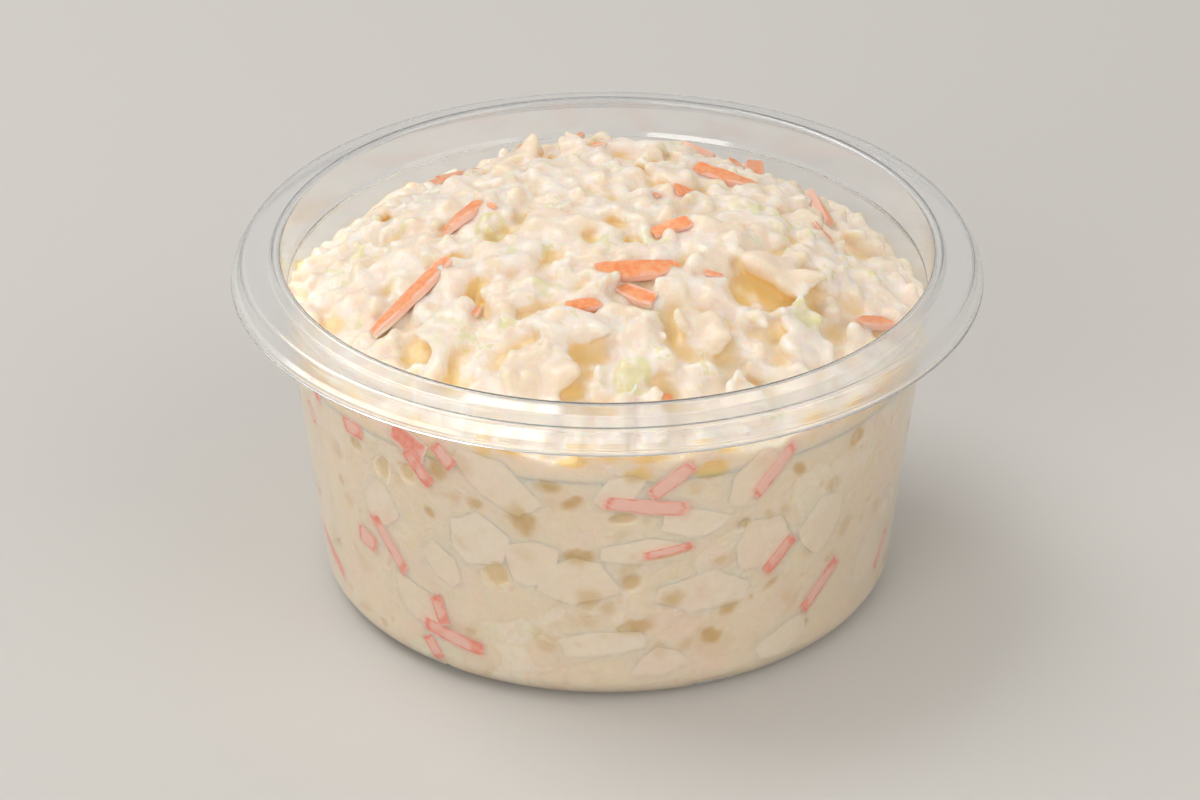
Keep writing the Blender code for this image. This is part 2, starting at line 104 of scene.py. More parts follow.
class Wire:
    """An output socket, or a plain number, that can be used in an expression."""

    def __init__(self, graph: "Graph", source: Any) -> None:
        """Keeps the graph that the new Math nodes go to, and the socket."""
        self.graph = graph
        self.source = source

    def math(self, operation: str, *others: Any) -> "Wire":
        """Adds a Math node.

        Args:
            operation: The Math node's operation.
            others: The further operands, as wires or numbers.

        Returns:
            The node's output.
        """
        values = {i: value for i, value in enumerate((self, *others))}
        return self.graph.add("ShaderNodeMath", {"operation": operation}, values)

    def __add__(self, other: Any) -> "Wire":
        """Sum."""
        return self.math("ADD", other)

    __radd__ = __add__

    def __sub__(self, other: Any) -> "Wire":
        """Difference."""
        return self.math("SUBTRACT", other)

    def __rsub__(self, other: Any) -> "Wire":
        """Difference the other way round."""
        return Wire(self.graph, other).math("SUBTRACT", self)

    def __mul__(self, other: Any) -> "Wire":
        """Product."""
        return self.math("MULTIPLY", other)

    __rmul__ = __mul__

    def ramp(self, low: float, high: float) -> "Wire":
        """A smooth step.

        Args:
            low: The value that gives 0.
            high: The value that gives 1.

        Returns:
            The stepped value.
        """
        settings = {"interpolation_type": "SMOOTHSTEP"}
        sockets = {"Value": self, "From Min": low, "From Max": high}
        return self.graph.add("ShaderNodeMapRange", settings, sockets)


class Graph:
    """A node tree that is built by one method."""

    def __init__(self, tree: bpy.types.NodeTree) -> None:
        """Empties the tree."""
        self.tree = tree
        tree.nodes.clear()

    def add(self, kind: str, settings: dict | None = None, sockets: dict | None = None) -> Wire:
        """Adds a node.

        Args:
            kind: The node's type.
            settings: Its properties, which are set first.
            sockets: Values or wires for its inputs, by name or by number.

        Returns:
            Its first enabled output.
        """
        node = self.tree.nodes.new(kind)
        for name, value in (settings or {}).items():
            setattr(node, name, value)
        for name, value in (sockets or {}).items():
            self.plug(self.socket(node.inputs, name), value)
        outputs = [output for output in node.outputs if output.enabled]
        return Wire(self, outputs[0] if outputs else node)

    @staticmethod
    def socket(sockets: Any, name: str | int) -> Any:
        """Finds a socket.

        Args:
            sockets: A node's inputs or outputs.
            name: The socket's number or name; of several with one name, the enabled one.

        Returns:
            The socket.
        """
        if isinstance(name, int):
            return sockets[name]
        named = [socket for socket in sockets if socket.name == name]
        return next((socket for socket in named if socket.enabled), named[0])

    def plug(self, socket: Any, value: Any) -> None:
        """Sets or links an input.

        Args:
            socket: The input.
            value: A wire, a number, a colour of three numbers, or what the socket holds.
        """
        if isinstance(value, Wire):
            value = value.source
        if isinstance(value, bpy.types.NodeSocket):
            self.tree.links.new(value, socket)
            return
        if socket.type == "RGBA" and len(value) == 3:
            value = (*value, 1.0)
        socket.default_value = value

    def other(self, wire: Wire, name: str) -> Wire:
        """Another output of the node that a wire comes from."""
        node = wire.source.node if isinstance(wire.source, bpy.types.NodeSocket) else wire.source
        return Wire(self, self.socket(node.outputs, name))

    def mix(self, factor: Any, first: Any, second: Any) -> Wire:
        """Mixes two colours.

        Args:
            factor: How much of the second shows.
            first: The first colour.
            second: The second colour.

        Returns:
            The mixed colour.
        """
        settings = {"data_type": "RGBA"}
        node = self.add("ShaderNodeMix", settings, {"Factor": factor, "A": first, "B": second})
        return self.other(node, "Result")

    def noise(self, size: float, detail: float = 2.0, stretch: Sequence[float] = (1, 1, 1)) -> Wire:
        """Noise over the object.

        Args:
            size: The size of its swells, in metres.
            detail: How many finer layers it has.
            stretch: How many times finer it is along each axis.

        Returns:
            The noise's value.
        """
        place = self.other(self.add("ShaderNodeTexCoord"), "Object")
        place = self.add("ShaderNodeMapping", None, {"Vector": place, "Scale": stretch})
        sockets = {"Vector": place, "Scale": 1 / size, "Detail": detail}
        return self.add("ShaderNodeTexNoise", None, sockets)

    def mark(self, mark: Mark) -> Wire:
        """The value of a mark on the mesh."""
        node = self.add("ShaderNodeAttribute", {"attribute_name": mark.value})
        return self.other(node, "Fac")


@dataclass(frozen=True)
class Finish:
    """What every finish has: a name, and a material made once."""

    name: str

    def material(self) -> bpy.types.Material:
        """The finish's material."""
        found = bpy.data.materials.get(self.name)
        if found:
            return found
        made = bpy.data.materials.new(self.name)
        made.use_nodes = True
        graph = Graph(made.node_tree)
        graph.add("ShaderNodeOutputMaterial", None, {"Surface": self.surface(graph)})
        return made

    def surface(self, graph: Graph) -> Wire:
        """The finish's shader."""
        raise NotImplementedError


@dataclass(frozen=True)
class ClearPlastic(Finish):
    """Clear colourless plastic sheet, which lets the lamps' light through to the food."""

    tint: Colour = (0.985, 0.99, 0.995)
    haze: float = 0.05
    roughness: float = 0.045
    rim_roughness: float = 0.12
    refraction: float = 1.56
    streak_size: float = 5.0 * MM
    streak_stretch: tuple[float, float, float] = (1, 1, 0.12)
    streak_depth: float = 0.012
    streak_height: float = 1 * MM

    def surface(self, graph: Graph) -> Wire:
        """The sheet's shader."""
        streaks = graph.noise(self.streak_size, stretch=self.streak_stretch)
        sockets = {
            "Height": streaks,
            "Strength": self.streak_depth,
            "Distance": self.streak_height,
        }
        blur = graph.mark(Mark.COAT) * (self.rim_roughness - self.roughness) + self.roughness
        sheet = graph.add(
            "ShaderNodeBsdfPrincipled",
            None,
            {
                "Base Color": self.tint,
                "Roughness": blur,
                "IOR": self.refraction,
                "Transmission Weight": 1.0 - self.haze,
                "Normal": graph.add("ShaderNodeBump", None, sockets),
            },
        )
        shadow = graph.other(graph.add("ShaderNodeLightPath"), "Is Shadow Ray")
        open_air = graph.add("ShaderNodeBsdfTransparent", None, {"Color": self.tint})
        return graph.add("ShaderNodeMixShader", None, {0: shadow, 1: sheet, 2: open_air})


@dataclass(frozen=True)
class MoistFood(Finish):
    """Moist food: light goes a little way into it, and a thin wet coat lies on it."""

    roughness: float = 0.38
    roughness_swing: float = 0.35
    relief_strength: float = 0.5
    relief_height: float = 0.5 * MM
    refraction: float = 1.42
    light_share: float = 0.75
    light_spread: Colour = (1.0, 0.62, 0.28)
    light_reach: float = 2.8 * MM
    wet_coat: float = 0.15
    wet_roughness: float = 0.15

    def moist(self, graph: Graph, colour: Wire, swing: Wire, relief: Wire) -> Wire:
        """The moist shader.

        Args:
            graph: The material's tree.
            colour: The colour over the surface.
            swing: How the roughness varies, about 0.
            relief: The height of the fine relief.

        Returns:
            The shader.
        """
        sockets = {
            "Height": relief,
            "Strength": self.relief_strength,
            "Distance": self.relief_height,
        }
        return graph.add(
            "ShaderNodeBsdfPrincipled",
            None,
            {
                "Base Color": colour,
                "Roughness": self.roughness + swing * self.roughness_swing,
                "IOR": self.refraction,
                "Subsurface Weight": self.light_share,
                "Subsurface Radius": self.light_spread,
                "Subsurface Scale": self.light_reach,
                "Coat Weight": self.wet_coat,
                "Coat Roughness": self.wet_roughness,
                "Normal": graph.add("ShaderNodeBump", None, sockets),
            },
        )


@dataclass(frozen=True)
class DressedCabbage(MoistFood):
    """Chopped cabbage bound in creamy dressing, with golden painted shade in its hollows and under
    its edges, and pink by the carrot.
    """

    cream: Colour = (0.885, 0.75, 0.60)
    pale: Colour = (0.915, 0.83, 0.755)
    green: Colour = (0.76, 0.72, 0.42)
    rosy: Colour = (0.90, 0.72, 0.60)
    # The golden colour below is painted shade for hollows, pockets and undersides.
    golden_shade: Colour = (0.90, 0.61, 0.19)
    carrot: Colour = (0.92, 0.52, 0.38)
    shade: Colour = (0.74, 0.62, 0.44)
    rosy_share: float = 0.6
    green_share: float = 0.85
    stain_share: float = 0.45
    golden_share: float = 0.9
    golden_full: float = 0.9
    speckle: float = 0.12
    pale_range: Range = (0.2, 0.8)
    rosy_range: Range = (0.52, 0.68)
    leafy_range: Range = (0.84, 0.96)
    leafy_mottle: Range = (0.3, 0.6)
    stain_range: Range = (0.25, 1.0)
    speckle_range: Range = (0.35, 0.75)
    pale_swing: float = 1.1
    stain_swing: float = 0.7
    golden_swing: float = 0.5
    mottle_size: float = 2.6 * MM
    patch_size: float = 9 * MM
    speck_size: float = 1.3 * MM
    grain_size: float = 0.9 * MM
    grain_share: float = 0.6
    lump_size: float = 2.4 * MM

    def surface(self, graph: Graph) -> Wire:
        """The salad's shader."""
        tone = graph.mark(Mark.TONE)
        hollow = graph.mark(Mark.HOLLOW)
        mottle = graph.noise(self.mottle_size, 3.0)
        patches = graph.noise(self.patch_size)
        swing = mottle - 0.5
        paleness = (tone + swing * self.pale_swing).ramp(*self.pale_range)
        colour = graph.mix(paleness, self.cream, self.pale)
        colour = graph.mix(patches.ramp(*self.rosy_range) * self.rosy_share, colour, self.rosy)
        leafy = tone.ramp(*self.leafy_range) * mottle.ramp(*self.leafy_mottle)
        colour = graph.mix(leafy * self.green_share, colour, self.green)
        stain = (graph.mark(Mark.BLUSH) + swing * self.stain_swing).ramp(*self.stain_range)
        colour = graph.mix(stain * self.stain_share, colour, self.carrot)
        # Painted shade: the hollow mark turns the colour golden in hollows, pockets and under
        # edges, where shade falls.
        deep = (hollow + swing * self.golden_swing * hollow).ramp(0.0, self.golden_full)
        colour = graph.mix(deep * self.golden_share, colour, self.golden_shade)
        specks = graph.noise(self.speck_size, 4.0).ramp(*self.speckle_range)
        colour = graph.mix(specks * self.speckle, colour, self.shade)
        relief = graph.noise(self.grain_size, 3.0) * self.grain_share + graph.noise(self.lump_size)
        return self.moist(graph, colour, swing, relief)


@dataclass(frozen=True)
class CutCarrot(MoistFood):
    """A strip of raw carrot, partly under a film of dressing."""

    flesh: Colour = (0.94, 0.31, 0.12)
    bright: Colour = (0.96, 0.43, 0.21)
    film: Colour = (0.92, 0.60, 0.49)
    veil: Colour = (0.87, 0.745, 0.60)
    film_share: float = 0.85
    bright_range: Range = (0.35, 0.65)
    film_range: Range = (0.3, 0.75)
    film_swing: float = 1.3
    veil_range: Range = (1.0, 1.35)
    veil_swing: float = 0.8
    blotch_size: float = 2.8 * MM
    fibre_size: float = 1.1 * MM
    fibre_relief: float = 0.5
    film_relief: float = 0.6
    roughness: float = 0.33
    roughness_swing: float = 0.25
    relief_strength: float = 0.4
    relief_height: float = 0.3 * MM
    refraction: float = 1.4
    light_share: float = 0.25
    light_spread: Colour = (1.0, 0.4, 0.2)
    light_reach: float = 1.2 * MM
    wet_roughness: float = 0.12

    def surface(self, graph: Graph) -> Wire:
        """The carrot's shader."""
        coat = graph.mark(Mark.COAT)
        fibre = graph.noise(self.fibre_size, 3.0)
        swing = graph.noise(self.blotch_size, 3.0) - 0.5
        colour = graph.mix(fibre.ramp(*self.bright_range), self.flesh, self.bright)
        film = (coat + swing * self.film_swing).ramp(*self.film_range)
        colour = graph.mix(film * self.film_share, colour, self.film)
        veil = (coat + swing * self.veil_swing).ramp(*self.veil_range)
        colour = graph.mix(veil, colour, self.veil)
        relief = fibre * self.fibre_relief + film * self.film_relief
        return self.moist(graph, colour, swing, relief)


@dataclass(frozen=True)
class PaleFloor(Finish):
    """The plain pale floor."""

    colour: Colour = (0.62, 0.605, 0.58)
    roughness: float = 0.7

    def surface(self, graph: Graph) -> Wire:
        """The floor's shader."""
        sockets = {"Base Color": self.colour, "Roughness": self.roughness}
        return graph.add("ShaderNodeBsdfPrincipled", None, sockets)


PLASTIC = ClearPlastic("clear plastic sheet")
SALAD = DressedCabbage("dressed cabbage")
PRESSED_SALAD = DressedCabbage(
    "pressed salad",
    cream=(0.86, 0.735, 0.565),
    pale=(0.90, 0.80, 0.67),
    green=(0.80, 0.76, 0.52),
    # A darker golden painted shade for the pockets seen through the wall.
    golden_shade=(0.66, 0.43, 0.14),
    golden_share=0.95,
    golden_full=0.95,
    green_share=0.5,
    speckle=0.3,
)
LEAF = replace(
    PRESSED_SALAD,
    name="pressed cabbage leaf",
    pale=(0.88, 0.775, 0.635),
    green=(0.81, 0.755, 0.54),
    relief_strength=0.2,
    light_share=0.0,
)
CARROT = CutCarrot("cut carrot")
PRESSED_CARROT = CutCarrot(
    "pressed carrot",
    flesh=(0.84, 0.26, 0.16),
    bright=(0.90, 0.38, 0.26),
    film=(0.90, 0.60, 0.50),
    light_share=0.0,
)


# Mesh help


def new_object(name: str, mesh: bpy.types.Mesh, finish: Finish | None = None) -> bpy.types.Object:
    """Puts a mesh in the scene.

    Args:
        name: The object's name.
        mesh: Its mesh.
        finish: Its only material, if it gets one here.

    Returns:
        The object.
    """
    item = bpy.data.objects.new(name, mesh)
    bpy.context.scene.collection.objects.link(item)
    if finish:
        mesh.materials.clear()
        mesh.materials.append(finish.material())
    return item


def mesh_from(name: str, points: Any, faces: Iterable[Sequence[int]]) -> bpy.types.Mesh:
    """A smooth mesh from its points and faces.

    Args:
        name: The mesh's name.
        points: Its points, one a row.
        faces: Its faces, as numbers of points.

    Returns:
        The mesh.
    """
    mesh = bpy.data.meshes.new(name)
    mesh.from_pydata([tuple(point) for point in points], [], [tuple(face) for face in faces])
    mesh.shade_smooth()
    return mesh


def bands(first: int, sides: int, count: int, turned: bool = False) -> list[Sequence[int]]:
    """Faces of the bands between closed loops of points.

    Args:
        first: The first loop's first point.
        sides: How many points a loop has.
        count: How many bands there are.
        turned: Whether the faces point the other way.

    Returns:
        The faces, as numbers of points.
    """
    faces = []
    for low in range(first, first + count * sides, sides):
        high = low + sides
        for i in range(sides):
            j = (i + 1) % sides
            face = (low + i, low + j, high + j, high + i)
            faces.append((face[0], *face[:0:-1]) if turned else face)
    return faces


def set_mark(mesh: bpy.types.Mesh, mark: Mark, values: Any) -> None:
    """Stores a value for each point of a mesh."""
    layer = mesh.attributes.get(mark.value) or mesh.attributes.new(mark.value, "FLOAT", "POINT")
    layer.data.foreach_set("value", np.asarray(values, np.float32))


def get_mark(mesh: bpy.types.Mesh, mark: Mark) -> np.ndarray:
    """The values stored for each point of a mesh, or zeros."""
    values = np.zeros(len(mesh.vertices), np.float32)
    if mark.value in mesh.attributes:
        mesh.attributes[mark.value].data.foreach_get("value", values)
    return values


def points_of(mesh: bpy.types.Mesh) -> np.ndarray:
    """The points of a mesh, one a row."""
    points = np.empty(len(mesh.vertices) * 3, np.float32)
    mesh.vertices.foreach_get("co", points)
    return points.reshape(-1, 3).astype(float)


def set_points(mesh: bpy.types.Mesh, points: np.ndarray) -> None:
    """Moves the points of a mesh."""
    mesh.vertices.foreach_set("co", points.astype(np.float32).ravel())
    mesh.update()


def normals_of(mesh: bpy.types.Mesh) -> np.ndarray:
    """The normals of a mesh's points, one a row."""
    normals = np.empty(len(mesh.vertices) * 3, np.float32)
    mesh.vertices.foreach_get("normal", normals)
    return normals.reshape(-1, 3).astype(float)


def joined(name: str, meshes: Sequence[bpy.types.Mesh]) -> bpy.types.Mesh:
    """Several meshes as one, with their tone and coat marks.

    Args:
        name: The new mesh's name.
        meshes: The meshes, which are removed.

    Returns:
        The new mesh.
    """
    points, faces = [], []
    marks = {mark: [] for mark in (Mark.TONE, Mark.COAT)}
    count = 0
    for mesh in meshes:
        points.append(points_of(mesh))
        faces += [[count + i for i in face.vertices] for face in mesh.polygons]
        for mark, values in marks.items():
            values.append(get_mark(mesh, mark))
        count += len(mesh.vertices)
        bpy.data.meshes.remove(mesh)
    whole = mesh_from(name, np.concatenate(points), faces)
    for mark, values in marks.items():
        set_mark(whole, mark, np.concatenate(values))
    return whole


def evaluated_mesh(item: bpy.types.Object) -> bpy.types.Mesh:
    """The mesh that an object's modifiers make; the object is removed."""
    graph = bpy.context.evaluated_depsgraph_get()
    mesh = bpy.data.meshes.new_from_object(item.evaluated_get(graph))
    bpy.data.objects.remove(item)
    return mesh


def finder_of(points: np.ndarray) -> KDTree:
    """A finder of the point nearest to a place."""
    finder = KDTree(len(points))
    for i, point in enumerate(points):
        finder.insert(point, i)
    finder.balance()
    return finder


def eased(share: np.ndarray) -> np.ndarray:
    """Shares from 0 to 1 with both ends made smooth."""
    return share * share * (3 - 2 * share)


def cell_corners(part: np.ndarray) -> Iterator[tuple[np.ndarray, np.ndarray]]:
    """The corners of the cells that places lie in.

    Args:
        part: How far across its cell each place lies, one a row.

    Yields:
        A corner's step from the cell's first one, and its weight for each place.
    """
    for corner in range(8):
        step = np.array([corner & 1, corner >> 1 & 1, corner >> 2 & 1])
        yield step, np.where(step, part, 1 - part).prod(axis=1)


SWELL_KEYS = np.array([73856093, 19349663, 83492791])
SWELL_FACTOR = 1274126177
SWELL_LEVELS = 10007
SWELL_SHIFT = 17.3


def swells(points: np.ndarray, size: float, seed: int) -> np.ndarray:
    """Smooth random swells from -1 to 1.

    Args:
        points: The places, one a row.
        size: The size of a swell.
        seed: Which swells.

    Returns:
        A value for each place.
    """
    scaled = points / size + seed * SWELL_SHIFT
    cell = np.floor(scaled).astype(np.int64)
    total = np.zeros(len(points))
    for step, weight in cell_corners(eased(scaled - cell)):
        key = (cell + step) @ SWELL_KEYS
        key = (key ^ (key >> 13)) * SWELL_FACTOR & 0x7FFFFFFF
        value = (key ^ (key >> 15)) % SWELL_LEVELS / (SWELL_LEVELS // 2) - 1
        total += weight * value
    return total


DOME_RISE = 2.2
DOME_DROP = 0.9


def domes(points: np.ndarray, size: float, seed: int) -> np.ndarray:
    """Rounded domes parted by creases, from -1 to 1."""
    return DOME_RISE * np.abs(swells(points, size, seed)) - DOME_DROP


def sampled(block: np.ndarray, places: np.ndarray) -> np.ndarray:
    """A block's values between its cells.

    Args:
        block: The block.
        places: Places in cells, one a row.

    Returns:
        A value for each place.
    """
    cell = np.clip(np.floor(places).astype(int), 0, np.array(block.shape) - 2)
    part = np.clip(places - cell, 0, 1)
    total = np.zeros(len(places))
    for step, weight in cell_corners(part):
        total += weight * block[tuple((cell + step).T)]
    return total


# Forms that the pieces share with the solids


@dataclass(frozen=True)
class CupForm:
    """The cup's sheet: radii and heights of its middle line."""

    sheet: float = 0.5 * MM
    base_radius: float = 49.5 * MM
    wall_lean: float = 0.109
    corner_radius: float = 5.0 * MM
    bead_height: float = 54.7 * MM
    bead_half_width: float = 0.9 * MM
    bead_depth: float = 0.4 * MM
    rim_top_height: float = 63.1 * MM
    rim_top_rounding: float = 0.6 * MM
    ledge_radius: float = 58.0 * MM
    ledge_height: float = 59.9 * MM
    crest_radius: float = 62.5 * MM
    crest_height: float = 60.2 * MM
    crest_rounding: float = 0.9 * MM
    step_radius: float = 63.2 * MM
    step_height: float = 57.9 * MM
    flare_radius: float = 64.1 * MM
    flare_height: float = 57.4 * MM
    edge_radius: float = 64.25 * MM
    edge_height: float = 56.4 * MM
    small_rounding: float = 0.25 * MM

    def wall_radius(self, height: float) -> float:
        """Radius of the middle of the wall at a height."""
        return self.base_radius + self.wall_lean * height

    def inner_radius(self, height: float, into: float = 0.0) -> float:
        """How far out the cup's inside reaches.

        Args:
            height: The height above the base.
            into: How far into the sheet to go.

        Returns:
            The radius.
        """
        slant = math.sqrt(1 + self.wall_lean**2)
        inset = self.sheet / 2 - into
        arc_height = self.sheet / 2 + self.corner_radius
        if height >= arc_height:
            return self.wall_radius(height) - inset * slant
        reach = self.corner_radius - inset
        drop = min(arc_height - height, reach)
        middle = self.wall_radius(arc_height) - self.corner_radius * slant
        return middle + math.sqrt(reach**2 - drop**2)


CUP = CupForm()


@dataclass(frozen=True)
class HeapForm:
    """The heap's even surface."""

    contact_height: float = 50.5 * MM
    crown_height: float = 67.1 * MM
    crown_power: float = 2.5
    into_sheet: float = 0.12 * MM
    swell_places: tuple = (
        (-6, 34, 1.0, 9),
        (-46, 20, -3.0, 12),
        (-26, 38, -3.0, 9),
        (33, 34, -3.0, 10),
        (48, 16, -3.0, 11),
    )

    def height(self, x: Any, y: Any) -> Any:
        """Height of the crown over a point, or over many.

        Args:
            x: Across, as a number or an array.
            y: Towards the back, as a number or an array.

        Returns:
            The height, as a number or an array.
        """
        reach = CUP.inner_radius(self.contact_height)
        out = np.minimum(np.hypot(x, y) / reach, 1.0)
        drop = self.crown_height - self.contact_height
        height = self.crown_height - drop * out**self.crown_power
        for swell_x, swell_y, rise, spread in self.swell_places:
            away = np.hypot(x - swell_x * MM, y - swell_y * MM) / (spread * MM)
            height = height + rise * MM * np.exp(-(away**2))
        return height

    def normal(self, x: float, y: float) -> Vector:
        """Which way the crown faces over a point."""
        step = 1 * MM
        slope_x = (self.height(x + step, y) - self.height(x - step, y)) / (2 * step)
        slope_y = (self.height(x, y + step) - self.height(x, y - step)) / (2 * step)
        return Vector((-slope_x, -slope_y, 1)).normalized()

    def reaches(self, heights: Iterable[float]) -> np.ndarray:
        """How far out the heap can reach at each height."""
        return np.array([CUP.inner_radius(z, self.into_sheet) for z in heights])

    def kept_inside(self, points: np.ndarray) -> np.ndarray:
        """The points, drawn in to where the heap touches the cup.

        Args:
            points: Points, one a row.

        Returns:
            The points with those past the wall moved onto it.
        """
        reach = self.reaches(np.maximum(points[:, 2], CUP.sheet))
        out = np.hypot(points[:, 0], points[:, 1])
        share = np.minimum(1.0, reach / np.maximum(out, 1e-9))
        moved = points.copy()
        moved[:, :2] *= share[:, None]
        return moved


HEAP = HeapForm()


# The cup


@dataclass
class CupShell:
    """The clear cup: one sheet turned round its axis."""

    form: CupForm = CUP
    segments: int = 288
    arc_step: float = math.radians(9)
    blur_from: float = 53.5 * MM
    blur_over: float = 2.5 * MM

    def corner(self, before: Vector, corner: Vector, after: Vector, radius: float) -> list[Vector]:
        """Rounds a corner of the profile.

        Args:
            before: The corner before it.
            corner: The corner.
            after: The corner after it.
            radius: The arc's radius.

        Returns:
            The arc's points.
        """
        to_before = (before - corner).normalized()
        to_after = (after - corner).normalized()
        opening = to_before.angle(to_after)
        reach = radius / math.tan(opening / 2)
        centre = corner + (to_before + to_after).normalized() * (radius / math.sin(opening / 2))
        start = (corner + to_before * reach - centre).normalized()
        end = (corner + to_after * reach - centre).normalized()
        parts = max(2, math.ceil((math.pi - opening) / self.arc_step))
        return [centre + start.slerp(end, i / parts) * radius for i in range(parts + 1)]

    def path(self) -> list[Vector]:
        """Middle line of the sheet, from the centre of the base to the edge of the skirt."""
        form = self.form
        low = form.bead_height - form.bead_half_width
        high = form.bead_height + form.bead_half_width
        bead_radius = form.wall_radius(form.bead_height) - form.bead_depth
        small = form.small_rounding
        corners = (
            (0, form.sheet / 2, 0),
            (form.base_radius, form.sheet / 2, form.corner_radius),
            (form.wall_radius(low), low, small),
            (bead_radius, form.bead_height, small),
            (form.wall_radius(high), high, small),
            (form.wall_radius(form.rim_top_height), form.rim_top_height, form.rim_top_rounding),
            (form.ledge_radius, form.ledge_height, form.rim_top_rounding),
            (form.crest_radius, form.crest_height, form.crest_rounding),
            (form.step_radius, form.step_height, small),
            (form.flare_radius, form.flare_height, small),
            (form.edge_radius, form.edge_height, 0),
        )
        spots = [Vector((radius, height)) for radius, height, _ in corners]
        path = []
        for i, (_, _, rounding) in enumerate(corners):
            if rounding:
                path += self.corner(spots[i - 1], spots[i], spots[i + 1], rounding)
            else:
                path.append(spots[i])
        return path

    @staticmethod
    def beside(path: list[Vector], distance: float) -> list[Vector]:
        """The path moved to its right-hand side."""
        moved = []
        for i, spot in enumerate(path):
            runs = []
            if i:
                runs.append((spot - path[i - 1]).normalized())
            if i + 1 < len(path):
                runs.append((path[i + 1] - spot).normalized())
            sides = [Vector((run.y, -run.x)) for run in runs]
            middle = sum(sides, Vector((0, 0))).normalized()
            moved.append(spot + middle * (distance / middle.dot(sides[0])))
        return moved

    def build(self) -> bpy.types.Object:
        """Turns the profile and dresses it.

        Returns:
            The cup.
        """
        path = self.path()
        half = self.form.sheet / 2
        outline = self.beside(path, half) + self.beside(path, -half)[::-1]
        bm = bmesh.new()
        spots = [bm.verts.new((max(spot.x, 0), 0, spot.y)) for spot in outline]
        spots[0].co.x = 0
        spots[-1].co.x = 0
        edges = [bm.edges.new(pair) for pair in zip(spots, spots[1:])]
        bmesh.ops.spin(
            bm,
            geom=spots + edges,
            cent=(0, 0, 0),
            axis=(0, 0, 1),
            angle=FULL_TURN,
            steps=self.segments,
            use_merge=False,
        )
        bmesh.ops.remove_doubles(bm, verts=bm.verts, dist=1e-6)
        bmesh.ops.recalc_face_normals(bm, faces=bm.faces)
        mesh = bpy.data.meshes.new("cup_shell")
        bm.to_mesh(mesh)
        bm.free()
        mesh.shade_smooth()
        heights = points_of(mesh)[:, 2]
        set_mark(mesh, Mark.COAT, np.clip((heights - self.blur_from) / self.blur_over, 0, 1))
        cup = new_object("cup_shell", mesh, PLASTIC)
        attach(cup, BODY)
        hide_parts("cup", "cup_rim")
        return cup


# The side of the heap, seen through the wall


@dataclass(frozen=True)
class Pocket:
    """A hollow in the pressed side: turn in degrees, and height, width and rise in millimetres; its
    tint is how strongly painted golden shade darkens it.
    """

    turn: float
    height: float
    width: float
    rise: float
    lean: float = 0.0
    depth: float = 0.1
    tint: float = 0.8


SHOWN_POCKETS = tuple(
    Pocket(*sizes)
    for sizes in (
        (-111, 24.5, 5.6, 5.0, 0, 0.5, 1.0),
        (-95, 30.2, 6.5, 3.8, 10, 0.1, 0.95),
        (-94, 21.5, 5.4, 5.6, -20, 0.1, 0.7),
        (-86, 25.0, 3.8, 3.7, -25, 0.7, 1.0),
        (-78, 21.0, 4.6, 4.5, 20, 0.6, 0.9),
        (-105, 36.8, 4.7, 8.6, 25, 0.1, 0.9),
        (-100, 44.2, 5.2, 3.0, 0, 0.1, 0.9),
        (-96, 41.2, 4.6, 3.0, 30, 0.1, 0.9),
        (-134, 38.8, 4.1, 6.4, 0, 0.6, 0.95),
        (-128, 40.5, 3.4, 3.8, 0, 0.8, 1.25),
        (-70, 11.8, 4.4, 4.2, 20, 0.1, 0.95),
        (-85, 15.5, 6.9, 3.8, 5, 0.1, 0.75),
        (-40, 43.2, 4.8, 3.7, 30, 0.1, 1.0),
        (-85, 46.8, 5.7, 3.6, 10, 0.1, 0.95),
        (-72, 46.5, 5.6, 3.8, 0, 0.1, 0.95),
        (-67, 17.2, 5.4, 3.2, 25, 0.1, 0.8),
        (-65, 34.0, 3.2, 2.2, 25, 0.5, 0.85),
        (-96, 49.6, 5.4, 2.4, 0, 0.1, 0.9),
        (-54, 42.0, 2.4, 4.2, 35, 0.1, 0.85),
        (-141, 41.2, 3.5, 2.1, 0, 0.1, 0.8),
        (-141, 22.5, 4.9, 3.4, 0, 0.1, 0.7),
        (-87, 38.3, 4.8, 1.7, 5, 0.7, 1.3),
        (-79.5, 30.4, 9.4, 1.5, 10, 0.8, 1.2),
        (-102, 12.5, 5.3, 2.6, 0, 0.1, 0.5),
        (-45, 35.0, 4.4, 4.6, 0, 0.1, 0.5),
        (-121, 43.2, 4.3, 4.8, 0, 0.1, 0.8),
        (-124, 34.2, 3.0, 2.2, -40, 0.1, 0.7),
        (-49, 11.0, 2.2, 3.0, 0, 0.1, 0.6),
        (-148, 30.5, 2.2, 2.6, 0, 0.1, 0.6),
        (-117, 11.2, 3.0, 2.2, 0, 0.1, 0.6),
        (-58, 20.0, 4.6, 1.8, 35, 0.1, 0.7),
        (-69, 27.5, 2.8, 2.2, 10, 0.1, 0.6),
        (-90, 19.5, 6.0, 4.0, 10, 0.1, 0.55),
        (-114, 38.5, 3.6, 2.6, -20, 0.1, 0.7),
        (-118, 30.0, 5.0, 2.2, -50, 0.1, 0.45),
    )
)


@dataclass(frozen=True)
class Patch:
    """The outline of a chopped leaf that lies against the wall, and its tone."""

    turn: float
    height: float
    length: float
    width: float
    lean: float
    square: float
    tone: float


